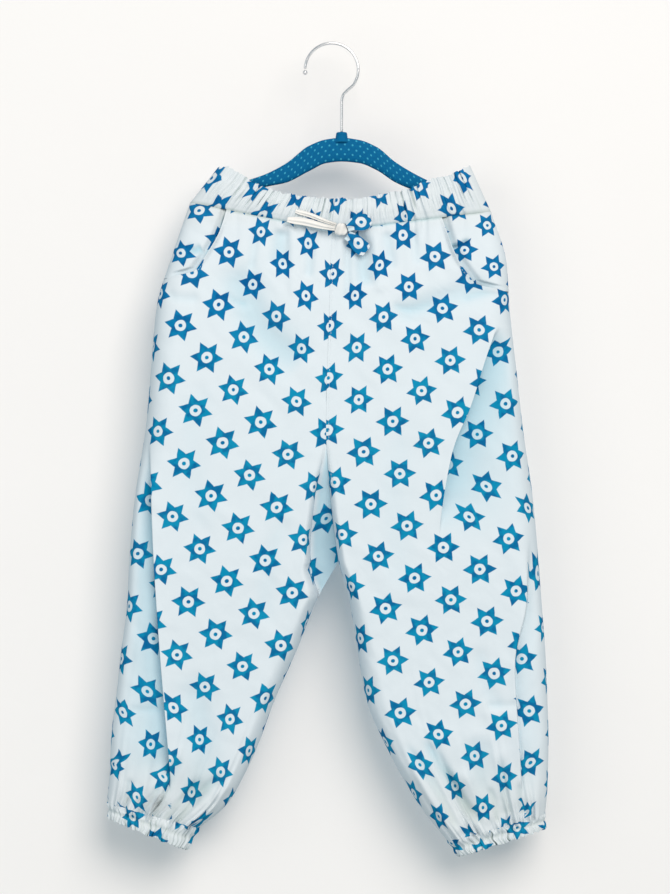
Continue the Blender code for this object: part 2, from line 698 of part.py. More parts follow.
def make_hanger_arms(material):
    """Shaped arms in one sweep from tip to tip, with a round neck for the hook."""
    table = np.array(ARMS, float)
    places = np.arange(len(ARMS))
    fine = np.linspace(0, len(ARMS) - 1, (len(ARMS) - 1) * ARM_STATION_STEPS + 1)
    x, top, bottom, thick = (soft_curve(places, column, fine) for column in table.T)
    centre_z = (top + bottom) / 2
    half_z = (top - bottom) / 2
    half_y = thick / 2
    ends = []
    for index, way in ((0, -1), (-1, 1)):
        for turn in (35, 68):
            reach = way * ARM_END_ROUND * math.sin(math.radians(turn))
            shrink = math.cos(math.radians(turn))
            ends.append(
                (x[index] + reach, centre_z[index], half_z[index] * shrink, half_y[index] * shrink)
            )
    rings = [ends[1], ends[0]]
    rings += list(zip(x, centre_z, half_z, half_y))
    rings += [ends[2], ends[3]]
    angles = 2 * np.pi * np.arange(ARM_SIDES) / ARM_SIDES
    round_y = np.sign(np.cos(angles)) * np.abs(np.cos(angles)) ** ARM_SQUARENESS
    round_z = np.sign(np.sin(angles)) * np.abs(np.sin(angles)) ** ARM_SQUARENESS
    points = []
    for ring_x, ring_z, high, deep in rings:
        points += [
            (ring_x * MM, deep * across * MM, (ring_z + high * up) * MM)
            for across, up in zip(round_y, round_z)
        ]
    faces = []
    for ring in range(len(rings) - 1):
        for i in range(ARM_SIDES):
            after = (i + 1) % ARM_SIDES
            base = ring * ARM_SIDES
            faces.append((base + i, base + after, base + ARM_SIDES + after, base + ARM_SIDES + i))
    faces.append(tuple(range(ARM_SIDES))[::-1])
    faces.append(tuple((len(rings) - 1) * ARM_SIDES + i for i in range(ARM_SIDES)))
    arms = add_mesh("hanger_arms", points, faces, material)
    bpy.ops.mesh.primitive_cylinder_add(
        vertices=16,
        radius=NECK_RADIUS * MM,
        depth=(NECK_TOP - NECK_BOTTOM) * MM,
        location=(STEM_X * MM, 0, (NECK_TOP + NECK_BOTTOM) / 2 * MM),
    )
    neck = bpy.context.object
    neck.name = "neck_guide"
    neck.hide_render = True
    neck.display_type = "WIRE"
    join = arms.modifiers.new("neck", "BOOLEAN")
    join.operation = "UNION"
    join.solver = "EXACT"
    join.object = neck


def make_hook(material):
    """Wire from the free tip over the crown and down to the neck, as a swept round section."""
    route = []
    for turn in np.linspace(180, CROWN_END, 22):
        angle = math.radians(turn)
        route.append((CROWN_X + CROWN_RADIUS * math.cos(angle), CROWN_Z + CROWN_RADIUS * math.sin(angle)))
    route += list(SHANK)
    route.append((STEM_X, NECK_TOP + SEAM_GAP))
    data = bpy.data.curves.new("hanger_hook", "CURVE")
    data.dimensions = "3D"
    data.bevel_depth = WIRE / 2 * MM
    data.bevel_resolution = 2
    data.use_fill_caps = True
    spline = data.splines.new("POLY")
    spline.points.add(len(route) - 1)
    for point, (x, z) in zip(spline.points, route):
        point.co = (x * MM, 0, z * MM, 1)
    data.materials.append(material)
    hook = bpy.data.objects.new("hanger_hook", data)
    bpy.context.scene.collection.objects.link(hook)
    bpy.ops.mesh.primitive_uv_sphere_add(
        segments=12,
        ring_count=8,
        radius=TIP_BALL_RADIUS * MM,
        location=(route[0][0] * MM, 0, (route[0][1] - TIP_BALL_RADIUS - SEAM_GAP) * MM),
    )
    ball = bpy.context.object
    ball.name = "hook_tip"
    ball.data.name = "hook_tip"
    ball.data.materials.append(material)
    ball.data.shade_smooth()


def build():
    clear_scene()
    cotton = make_material("cotton_print", PRINT_WHITE, 0.85)
    hanger = make_material("hanger_flock", HANGER_BLUE, 0.7)
    wire = make_material("hook_wire", WIRE_GREY, 0.25, 1.0)
    for side, word in ((RIGHT, "right"), (LEFT, "left")):
        make_leg_panel(f"leg_front_{word}", side, FRONT, cotton)
        make_leg_panel(f"leg_back_{word}", side, BACK, cotton)
        make_hip_facing(f"hip_facing_{word}", side, cotton)
        make_cuff(f"cuff_{word}", side, cotton)
    make_band_half("waistband_front", FRONT, cotton)
    make_band_half("waistband_back", BACK, cotton)
    make_knot(cotton)
    for ribbon in RIBBONS:
        make_ribbon(ribbon, cotton)
    make_hanger_arms(hanger)
    make_hook(wire)


build()
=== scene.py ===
"""Looks for a child's star-print cotton trousers on a small hanger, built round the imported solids.

Sizes are in millimetres until a mesh is made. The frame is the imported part's: the origin is the
inside of the hook's crown, +Z is up, the front faces -Y and the wearer's left is +X. The cloth
follows the same section and fold tables as the solids, on a finer grid and with a thin wall.
"""

from __future__ import annotations

import json
import logging
import math
from dataclasses import dataclass, field
from enum import Enum
from typing import NamedTuple, Sequence

import bpy
import numpy as np
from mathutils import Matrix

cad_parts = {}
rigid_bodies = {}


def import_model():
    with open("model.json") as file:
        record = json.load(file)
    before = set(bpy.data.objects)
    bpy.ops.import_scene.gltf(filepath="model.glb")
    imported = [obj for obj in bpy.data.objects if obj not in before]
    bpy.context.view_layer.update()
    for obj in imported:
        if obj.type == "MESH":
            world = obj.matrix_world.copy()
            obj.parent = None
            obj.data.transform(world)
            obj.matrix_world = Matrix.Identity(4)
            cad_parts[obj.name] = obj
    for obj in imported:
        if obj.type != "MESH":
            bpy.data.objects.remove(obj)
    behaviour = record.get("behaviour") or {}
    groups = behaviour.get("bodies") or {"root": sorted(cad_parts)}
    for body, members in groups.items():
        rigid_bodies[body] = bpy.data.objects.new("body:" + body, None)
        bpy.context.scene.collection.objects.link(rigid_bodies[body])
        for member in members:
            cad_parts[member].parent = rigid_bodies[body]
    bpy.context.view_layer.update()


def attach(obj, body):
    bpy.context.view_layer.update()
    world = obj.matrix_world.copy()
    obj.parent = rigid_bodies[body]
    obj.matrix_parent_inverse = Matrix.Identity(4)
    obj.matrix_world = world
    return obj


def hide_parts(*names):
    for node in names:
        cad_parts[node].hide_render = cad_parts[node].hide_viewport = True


log = logging.getLogger("trousers")

MM = 0.001
BODY = "root"
Array = np.ndarray
Colour = tuple[float, float, float]


class Side(Enum):
    """The wearer's side."""

    RIGHT = -1
    LEFT = 1

    @property
    def word(self) -> str:
        """The side's name in a node's name."""
        return self.name.lower()


class Face(Enum):
    """The side of the trousers that a panel faces."""

    FRONT = -1
    BACK = 1

    @property
    def word(self) -> str:
        """The face's name in a node's name."""
        return self.name.lower()


class Slot(Enum):
    """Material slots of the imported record."""

    COTTON = "cotton_print"
    FLOCK = "hanger_flock"
    WIRE = "hook_wire"


class Section(NamedTuple):
    """One section of a leg, from its inner end to the side seam, in millimetres."""

    in_x: float
    in_z: float
    out_x: float
    out_z: float
    front: float
    back: float
    open_front: float
    open_back: float
    recess: float
    turn: float


class Fold(NamedTuple):
    """A large fold along a path on the front view.

    height and width make a soft ridge, or a trough below 0. drop sets the cloth back past the path
    over edge, coming forward again over reach, and tuck draws it in under the ridge. shade is how
    much painted shade greys the cloth where the fold sets it back. slide is how far the print has
    moved past the path.
    """

    side: Side
    face: Face
    path: tuple[tuple[float, float], ...]
    height: float
    width: float
    drop: float = 0.0
    edge: float = 4.0
    reach: float = 20.0
    tuck: float = 0.0
    shade: float = 1.0
    slide: tuple[float, float] = (0.0, 0.0)


SECTIONS: dict[Side, tuple[Section, ...]] = {
    Side.RIGHT: (
        Section(-2, -169, -131, -143, 12, 12, 1.0, 1.0, 0.00, 6),
        Section(-4, -197, -148, -193, 17, 18, 1.0, 1.0, 0.00, 6),
        Section(-5, -240, -161, -236, 22, 24, 1.0, 1.0, 0.00, 6),
        Section(-7, -294, -166, -290, 25, 28, 1.0, 1.0, 0.00, 6),
        Section(-8, -348, -171, -346, 27, 30, 1.0, 1.0, 0.00, 6),
        Section(-4, -411, -181, -411, 28, 30, 0.5, 0.8, 0.08, 6),
        Section(3, -467, -186, -466, 28, 29, 0.0, 0.0, 0.13, 7),
        Section(-17, -503, -188, -507, 27, 28, 0.0, 0.0, 0.00, 12),
        Section(-34, -546, -193, -546, 26, 27, 0.0, 0.0, 0.00, 16),
        Section(-54, -591, -197, -582, 25, 26, 0.0, 0.0, 0.00, 18),
        Section(-73, -641, -202, -623, 24, 24, 0.0, 0.0, 0.00, 18),
        Section(-99, -688, -204, -662, 20, 20, 0.0, 0.0, 0.00, 16),
        Section(-122, -707, -206, -684, 16, 16, 0.0, 0.0, 0.00, 14),
    ),
    Side.LEFT: (
        Section(-2, -169, 141, -151, 12, 12, 1.0, 1.0, 0.00, 6),
        Section(-4, -197, 155, -197, 17, 18, 1.0, 1.0, 0.00, 6),
        Section(-5, -240, 158, -240, 22, 24, 1.0, 1.0, 0.00, 6),
        Section(-7, -294, 164, -294, 25, 28, 1.0, 1.0, 0.00, 6),
        Section(-8, -348, 170, -348, 27, 30, 1.0, 1.0, 0.00, 6),
        Section(-4, -411, 179, -411, 28, 30, 0.5, 0.8, 0.00, 6),
        Section(3, -467, 184, -467, 28, 29, 0.0, 0.0, 0.00, 7),
        Section(13, -503, 187, -507, 27, 28, 0.0, 0.0, 0.00, 12),
        Section(20, -546, 190, -546, 26, 27, 0.0, 0.0, 0.00, 16),
        Section(28, -591, 192, -591, 25, 26, 0.0, 0.0, 0.00, 18),
        Section(47, -636, 193, -629, 24, 24, 0.0, 0.0, 0.00, 18),
        Section(78, -690, 192, -672, 20, 20, 0.0, 0.0, 0.00, 16),
        Section(101, -719, 190, -694, 16, 16, 0.0, 0.0, 0.00, 14),
    ),
}
CROTCH = 6
LAST = 12

FOLDS: tuple[Fold, ...] = (
    Fold(Side.RIGHT, Face.FRONT, ((-168, -345), (-166, -429), (-161, -519), (-153, -620), (-148, -676)),
         1.0, 9, 13, 4, 22, 6.0, 0.7, (-12.0, -15.0)),
    Fold(Side.RIGHT, Face.FRONT, ((-6, -360), (-32, -546), (-80, -640)), 2.0, 12),
    Fold(Side.RIGHT, Face.FRONT, ((-94, -195), (-66, -258), (-26, -292)), -5.0, 16),
    Fold(Side.RIGHT, Face.FRONT, ((-48, -166), (-51, -204)), -4.0, 7),
    Fold(Side.RIGHT, Face.FRONT, ((-130, -560), (-118, -640), (-136, -690)), -3.0, 14),
    Fold(Side.LEFT, Face.FRONT, ((148, -254), (137, -286), (123, -330), (108, -366), (92, -455)),
         2.5, 9, -11, 5, 26, 9.0),
    Fold(Side.LEFT, Face.FRONT, ((175, -440), (174, -501), (163, -560), (168, -644), (170, -688)),
         1.5, 7, -9, 5, 14, 3.0, 0.3, (5.4, -14.5)),
    Fold(Side.LEFT, Face.FRONT, ((24, -168), (27, -222)), -4.5, 8),
    Fold(Side.LEFT, Face.FRONT, ((48, -248), (94, -232), (146, -217)), -3.5, 10),
    Fold(Side.LEFT, Face.FRONT, ((60, -640), (96, -690), (118, -712)), 4.0, 9),
    Fold(Side.LEFT, Face.FRONT, ((128, -620), (134, -704)), -3.0, 10),
    Fold(Side.RIGHT, Face.BACK, ((-60, -190), (-84, -330), (-96, -440)), -4.0, 18),
    Fold(Side.RIGHT, Face.BACK, ((-8, -440), (-70, -500), (-130, -530)), 4.5, 16),
    Fold(Side.RIGHT, Face.BACK, ((-120, -540), (-134, -670)), -4.0, 14),
    Fold(Side.LEFT, Face.BACK, ((66, -190), (92, -320), (104, -420)), -4.0, 18),
    Fold(Side.LEFT, Face.BACK, ((8, -440), (74, -496), (128, -512)), 4.5, 16),
    Fold(Side.LEFT, Face.BACK, ((116, -540), (138, -676)), -4.0, 14),
)
GUIDE_FOLD: dict[Side, Fold] = {Side.RIGHT: FOLDS[0], Side.LEFT: FOLDS[5]}

CREASES: tuple[Fold, ...] = (
    Fold(Side.RIGHT, Face.FRONT, ((-153, -224), (-140, -230), (-120, -231)), -1.5, 4),
    Fold(Side.RIGHT, Face.FRONT, ((-136, -183), (-127, -187), (-119, -184)), -2.2, 4, shade=4.0),
    Fold(Side.RIGHT, Face.FRONT, ((-99, -224), (-90, -232), (-78, -236)), -1.2, 2.5, shade=2.0),
    Fold(Side.RIGHT, Face.FRONT, ((-92, -238), (-82, -243), (-74, -239)), 0.9, 2.5),
    Fold(Side.RIGHT, Face.FRONT, ((-20, -172), (-24, -214)), -2.2, 4),
    Fold(Side.RIGHT, Face.FRONT, ((-70, -168), (-76, -206)), -1.8, 4),
    Fold(Side.RIGHT, Face.FRONT, ((-34, -170), (-38, -232)), 1.6, 5),
    Fold(Side.RIGHT, Face.FRONT, ((-187, -598), (-170, -600), (-152, -599)), -1.2, 3),
    Fold(Side.RIGHT, Face.FRONT, ((-40, -420), (-60, -470), (-66, -530)), -1.4, 9),
    Fold(Side.RIGHT, Face.FRONT, ((-150, -712), (-128, -682), (-100, -656)), -3.4, 4, shade=1.8),
    Fold(Side.RIGHT, Face.FRONT, ((-140, -714), (-116, -684), (-86, -664)), 3.0, 5),
    Fold(Side.RIGHT, Face.FRONT, ((-132, -714), (-104, -692), (-84, -680)), -3.2, 4, shade=1.8),
    Fold(Side.RIGHT, Face.FRONT, ((-168, -708), (-152, -672), (-138, -640)), -3.0, 4, shade=1.6),
    Fold(Side.RIGHT, Face.FRONT, ((-180, -704), (-172, -664), (-168, -630)), 1.8, 5),
    Fold(Side.RIGHT, Face.FRONT, ((-120, -300), (-128, -380), (-120, -450)), -1.0, 12),
    Fold(Side.LEFT, Face.FRONT, ((134, -595), (150, -596), (166, -594)), -1.4, 3),
    Fold(Side.LEFT, Face.FRONT, ((104, -184), (112, -182), (122, -177)), -2.6, 2.3, shade=5.0),
    Fold(Side.LEFT, Face.FRONT, ((50, -236), (66, -240), (92, -234)), -1.4, 3, shade=2.0),
    Fold(Side.LEFT, Face.FRONT, ((58, -243), (78, -247), (100, -243)), 0.9, 3),
    Fold(Side.LEFT, Face.FRONT, ((112, -232), (134, -226), (150, -228)), -1.2, 3, shade=2.0),
    Fold(Side.LEFT, Face.FRONT, ((10, -172), (12, -240)), -2.0, 4),
    Fold(Side.LEFT, Face.FRONT, ((46, -168), (52, -206)), -2.4, 5),
    Fold(Side.LEFT, Face.FRONT, ((36, -170), (40, -228)), 1.8, 5),
    Fold(Side.LEFT, Face.FRONT, ((70, -166), (76, -202)), -1.8, 5),
    Fold(Side.LEFT, Face.FRONT, ((128, -540), (136, -580), (152, -600)), -1.6, 7),
    Fold(Side.LEFT, Face.FRONT, ((78, -622), (104, -664), (126, -704)), -3.4, 5, shade=1.8),
    Fold(Side.LEFT, Face.FRONT, ((112, -650), (130, -680), (140, -704)), 2.8, 5),
    Fold(Side.LEFT, Face.FRONT, ((150, -640), (152, -676), (156, -698)), -3.0, 4.5, shade=1.6),
    Fold(Side.LEFT, Face.FRONT, ((170, -600), (176, -650), (178, -690)), 1.4, 6),
    Fold(Side.LEFT, Face.FRONT, ((62, -628), (92, -672), (112, -712)), -2.4, 4, shade=1.8),
    Fold(Side.LEFT, Face.FRONT, ((96, -648), (116, -680), (132, -706)), -2.6, 3.5, shade=1.8),
    Fold(Side.LEFT, Face.FRONT, ((138, -668), (144, -686), (147, -704)), -2.4, 3, shade=1.8),
    Fold(Side.LEFT, Face.FRONT, ((166, -664), (167, -682), (170, -697)), -2.2, 3, shade=1.8),
    Fold(Side.RIGHT, Face.FRONT, ((-158, -706), (-141, -684), (-118, -660)), -2.8, 3.5, shade=1.8),
    Fold(Side.RIGHT, Face.FRONT, ((-178, -702), (-166, -682), (-158, -668)), -2.2, 3, shade=1.8),
    Fold(Side.RIGHT, Face.FRONT, ((-192, -694), (-186, -676), (-184, -660)), -2.0, 3, shade=1.6),
    Fold(Side.LEFT, Face.FRONT, ((60, -330), (52, -420), (60, -500)), -1.0, 14),
    Fold(Side.RIGHT, Face.BACK, ((-24, -172), (-30, -230)), -2.2, 6),
    Fold(Side.RIGHT, Face.BACK, ((-96, -160), (-102, -214)), -2.0, 6),
    Fold(Side.RIGHT, Face.BACK, ((-150, -708), (-132, -668)), -2.4, 6),
    Fold(Side.LEFT, Face.BACK, ((30, -172), (34, -226)), -2.2, 6),
    Fold(Side.LEFT, Face.BACK, ((100, -162), (106, -216)), -2.0, 6),
    Fold(Side.LEFT, Face.BACK, ((140, -712), (126, -668)), -2.4, 6),
)


def smooth(value: Array | float) -> Array:
    """S-shaped ramp from 0 to 1.

    Args:
        value: Place on the ramp, which starts at 0 and ends at 1.

    Returns:
        The ramp's height there.
    """
    value = np.clip(value, 0.0, 1.0)
    return value * value * (3 - 2 * value)


def rise(value: Array | float) -> Array:
    """Quarter circle from 0 to 1.

    Args:
        value: Place along the quarter circle's foot.

    Returns:
        The circle's height there.
    """
    return np.sqrt(1 - (1 - np.clip(value, 0.0, 1.0)) ** 2)


def soft_curve(knots: Sequence[float], values: Sequence[float], where: Array | float) -> Array:
    """Cubic through the values that never swings past a knot.

    Args:
        knots: Places of the values, rising.
        values: The values there.
        where: Places to read the curve at.

    Returns:
        The curve's values.
    """
    knots = np.asarray(knots, float)
    values = np.asarray(values, float)
    steps = np.diff(knots)
    slopes = np.diff(values) / steps
    tangents = np.zeros(len(knots))
    same = slopes[:-1] * slopes[1:] > 0
    harmonic = 2 * slopes[:-1] * slopes[1:] / np.where(same, slopes[:-1] + slopes[1:], 1)
    tangents[1:-1] = np.where(same, harmonic, 0)
    tangents[0] = slopes[0]
    tangents[-1] = slopes[-1]
    where = np.clip(where, knots[0], knots[-1])
    cell = np.clip(np.searchsorted(knots, where, side="right") - 1, 0, len(steps) - 1)
    size = steps[cell]
    part = (where - knots[cell]) / size
    return (
        (1 + 2 * part) * (1 - part) ** 2 * values[cell]
        + part * (1 - part) ** 2 * size * tangents[cell]
        + part**2 * (3 - 2 * part) * values[cell + 1]
        + part**2 * (part - 1) * size * tangents[cell + 1]
    )


def path_distance(path: Sequence[tuple[float, float]], x: Array, z: Array) -> tuple[Array, Array]:
    """Distance to a fold's path on the front view.

    Args:
        path: Points of the path, joined by a soft curve.
        x: Places across.
        z: Heights.

    Returns:
        The distance, above 0 on the path's right hand, and the part along the path.
    """
    samples = 24
    knots = np.array(path, float)
    fine = np.linspace(0, len(knots) - 1, samples)
    line = np.stack([soft_curve(range(len(knots)), axis, fine) for axis in knots.T], axis=1)
    nearest = np.full(np.shape(x), 1e9)
    signed = np.zeros(np.shape(x))
    along = np.zeros(np.shape(x))
    for i, (start, end) in enumerate(zip(line[:-1], line[1:])):
        run = end - start
        part = np.clip(((x - start[0]) * run[0] + (z - start[1]) * run[1]) / (run @ run), 0, 1)
        off_x = x - start[0] - part * run[0]
        off_z = z - start[1] - part * run[1]
        distance = np.hypot(off_x, off_z)
        right_hand = off_x * run[1] - off_z * run[0]
        closer = distance < nearest
        nearest = np.where(closer, distance, nearest)
        signed = np.where(closer, distance * np.sign(right_hand), signed)
        along = np.where(closer, (i + part) / (samples - 1), along)
    return signed, along


def waves(count: float, part: Array, seed: float) -> Array:
    """Uneven gathers across a width.

    Args:
        count: Gathers in the whole width.
        part: Places across the width, from 0 to 1.
        seed: Changes where the gathers are uneven.

    Returns:
        Heights between -1 and 1.
    """
    wander = np.sin(2 * np.pi * (part * 2.3 + seed)) + np.sin(2 * np.pi * (part * 5.1 + 2 * seed))
    height = 0.75 + 0.25 * np.sin(2 * np.pi * (part * 3.7 + 3 * seed))
    return height * np.cos(2 * np.pi * (count * part + 0.35 * wander))


def ruffle(part: Array, count: float, seed: float) -> Array:
    """Small puckers of a gathered edge, with round ridges and narrow valleys.

    Args:
        part: Places along the edge, from 0 to 1.
        count: Larger puckers in the whole edge; twice as many small ones lie among them.
        seed: Changes where the puckers are.

    Returns:
        Heights of about -1 to 1.
    """
    lively = 0.65 + 0.35 * waves(count / 5, part, seed + 0.6)
    height = lively * (0.7 * waves(count, part, seed) + 0.45 * waves(2.13 * count, part, seed + 0.3))
    return 1 - 2 * ((1 - np.clip(height, -1, 1)) / 2) ** 2


def taken_up(height: Array, spare: float) -> Array:
    """Cloth hidden in the valleys of a gathered edge, counted along it from its middle.

    Args:
        height: Heights of the gathers along the edge, about -1 to 1.
        spare: Length of cloth hidden in the whole edge.

    Returns:
        Hidden length up to each place, below 0 before the middle.
    """
    share = np.cumsum(((1 - height) / 2) ** 3)
    share = share / share[-1]
    return spare * (share - share[len(share) // 2])


def rumple(x: Array, z: Array, size: float, seed: float) -> Array:
    """Soft unevenness of cloth that hangs free.

    Args:
        x: Places across.
        z: Heights.
        size: Usual distance between two bumps.
        seed: Changes where the bumps are.

    Returns:
        Heights of about -1 to 1.
    """
    turn = 2 * np.pi / size
    bent_x = x + 0.35 * size * np.sin(turn * 0.53 * z + 5.1 * seed)
    bent_z = z + 0.35 * size * np.sin(turn * 0.47 * x + 3.7 * seed)
    first = np.sin(turn * bent_x + 9.2 * seed) * np.sin(turn * 0.61 * bent_z + 4.4 * seed)
    second = np.sin(turn * (0.58 * bent_x + 0.83 * bent_z) + 7.9 * seed)
    return 0.6 * first + 0.4 * second


@dataclass(frozen=True)
class PrintLay:
    """How the printed cloth lies on a piece: steps of the star rows on the front view."""

    anchor: tuple[float, float]
    row: tuple[float, float]
    drop: tuple[float, float]

    def place(self, x: Array, z: Array) -> Array:
        """Print coordinates of points on the front view.

        Args:
            x: Places across, in millimetres.
            z: Heights, in millimetres.

        Returns:
            Places on the flat cloth in metres, in a last axis of two.
        """
        det = self.row[0] * self.drop[1] - self.row[1] * self.drop[0]
        off_x = x - self.anchor[0]
        off_z = z - self.anchor[1]
        across = (off_x * self.drop[1] - off_z * self.drop[0]) / det
        down = (self.row[0] * off_z - self.row[1] * off_x) / det
        return np.stack([across * StarPrint.row_pitch, down * StarPrint.drop_pitch], axis=-1) * MM


class NodeSketch:
    """Adds maths nodes to a node tree and joins them up."""

    def __init__(self, tree: bpy.types.NodeTree) -> None:
        """Keeps the tree that the nodes go into."""
        self.tree = tree

    def node(self, kind: str, **settings: object) -> bpy.types.Node:
        """A new node with its settings.

        Args:
            kind: Blender's name of the node's type.
            **settings: Properties to set on it.

        Returns:
            The node.
        """
        made = self.tree.nodes.new(kind)
        for name, value in settings.items():
            setattr(made, name, value)
        return made

    def feed(self, socket: bpy.types.NodeSocket, value: object) -> None:
        """Joins a socket to another one, or gives it a plain value."""
        if isinstance(value, bpy.types.NodeSocket):
            self.tree.links.new(value, socket)
        else:
            socket.default_value = value

    def math(self, operation: str, *values: object, clamp: bool = False) -> bpy.types.NodeSocket:
        """Result of a Math node.

        Args:
            operation: The node's operation.
            *values: Sockets or numbers that go in.
            clamp: Whether the result is kept from 0 to 1.

        Returns:
            The node's output socket.
        """
        made = self.node("ShaderNodeMath", operation=operation, use_clamp=clamp)
        for socket, value in zip(made.inputs, values):
            self.feed(socket, value)
        return made.outputs[0]

    def step(self, value: object, low: object, high: object) -> bpy.types.NodeSocket:
        """Smooth step from 0 at low to 1 at high."""
        made = self.node("ShaderNodeMapRange", interpolation_type="SMOOTHSTEP")
        for name, given in (("Value", value), ("From Min", low), ("From Max", high)):
            self.feed(made.inputs[name], given)
        return made.outputs["Result"]

    def pick(self, share: object, low: object, high: object) -> bpy.types.NodeSocket:
        """Number between low and high by share."""
        made = self.node("ShaderNodeMix", data_type="FLOAT")
        self.feed(made.inputs[0], share)
        self.feed(made.inputs[2], low)
        self.feed(made.inputs[3], high)
        return made.outputs[0]

    def tint(self, share: object, low: object, high: object, blend: str = "MIX") -> bpy.types.NodeSocket:
        """Colour between low and high by share, or blended in another way."""
        made = self.node("ShaderNodeMix", data_type="RGBA", blend_type=blend)
        self.feed(made.inputs[0], share)
        self.feed(made.inputs[6], opaque(low))
        self.feed(made.inputs[7], opaque(high))
        return made.outputs[2]

    def noise(self, place: object, scale: float, detail: float = 2.0) -> bpy.types.NodeSocket:
        """Soft noise from 0 to 1 at a place."""
        made = self.node("ShaderNodeTexNoise")
        self.feed(made.inputs["Vector"], place)
        made.inputs["Scale"].default_value = scale
        made.inputs["Detail"].default_value = detail
        return made.outputs["Fac"]


def opaque(value: object) -> object:
    """A plain colour with its alpha, or the socket as it is."""
    return (*value, 1.0) if isinstance(value, tuple) and len(value) == 3 else value


def new_group(name: str, inputs: dict[str, tuple[str, float | None]], outputs: dict[str, str]) -> bpy.types.NodeTree:
    """A shader node group with its sockets.

    Args:
        name: The group's name.
        inputs: Socket type and default of each input.
        outputs: Socket type of each output.

    Returns:
        The group, with its two end nodes named Ins and Outs.
    """
    group = bpy.data.node_groups.new(name, "ShaderNodeTree")
    for label, (kind, value) in inputs.items():
        socket = group.interface.new_socket(label, in_out="INPUT", socket_type=kind)
        if value is not None:
            socket.default_value = value
    for label, kind in outputs.items():
        group.interface.new_socket(label, in_out="OUTPUT", socket_type=kind)
    group.nodes.new("NodeGroupInput").name = "Ins"
    group.nodes.new("NodeGroupOutput").name = "Outs"
    return group


FLOAT = "NodeSocketFloat"
VECTOR = "NodeSocketVector"


class HalfDropLattice:
    """Shader group: the nearest point of a half-drop lattice, as stars and dots are laid out."""

    name = "half_drop_lattice"

    @classmethod
    def group(cls) -> bpy.types.NodeTree:
        """The group, built once."""
        found = bpy.data.node_groups.get(cls.name)
        if found:
            return found
        tree = new_group(
            cls.name,
            {"Place": (VECTOR, None), "Row Pitch": (FLOAT, 0.06), "Drop Pitch": (FLOAT, 0.05)},
            {"Across": FLOAT, "Down": FLOAT, "Cell": VECTOR},
        )
        sketch = NodeSketch(tree)
        ins, outs = tree.nodes["Ins"], tree.nodes["Outs"]
        place = sketch.node("ShaderNodeSeparateXYZ")
        sketch.feed(place.inputs[0], ins.outputs["Place"])
        pitches = (ins.outputs["Row Pitch"], ins.outputs["Drop Pitch"])
        local: list[list[bpy.types.NodeSocket]] = []
        cells: list[list[bpy.types.NodeSocket]] = []
        for offset in (0.0, 0.5):
            parts = []
            whole = []
            for axis, pitch in enumerate(pitches):
                count = sketch.math("SUBTRACT", sketch.math("DIVIDE", place.outputs[axis], pitch), offset)
                near = sketch.math("ROUND", count)
                parts.append(sketch.math("MULTIPLY", sketch.math("SUBTRACT", count, near), pitch))
                whole.append(sketch.math("ADD", near, offset))
            local.append(parts)
            cells.append(whole)
        reach = [
            sketch.math("ADD", sketch.math("MULTIPLY", a, a), sketch.math("MULTIPLY", b, b)) for a, b in local
        ]
        second = sketch.math("LESS_THAN", reach[1], reach[0])
        sketch.feed(outs.inputs["Across"], sketch.pick(second, local[0][0], local[1][0]))
        sketch.feed(outs.inputs["Down"], sketch.pick(second, local[0][1], local[1][1]))
        cell = sketch.node("ShaderNodeCombineXYZ")
        sketch.feed(cell.inputs[0], sketch.pick(second, cells[0][0], cells[1][0]))
        sketch.feed(cell.inputs[1], sketch.pick(second, cells[0][1], cells[1][1]))
        sketch.feed(outs.inputs["Cell"], cell.outputs[0])
        return tree


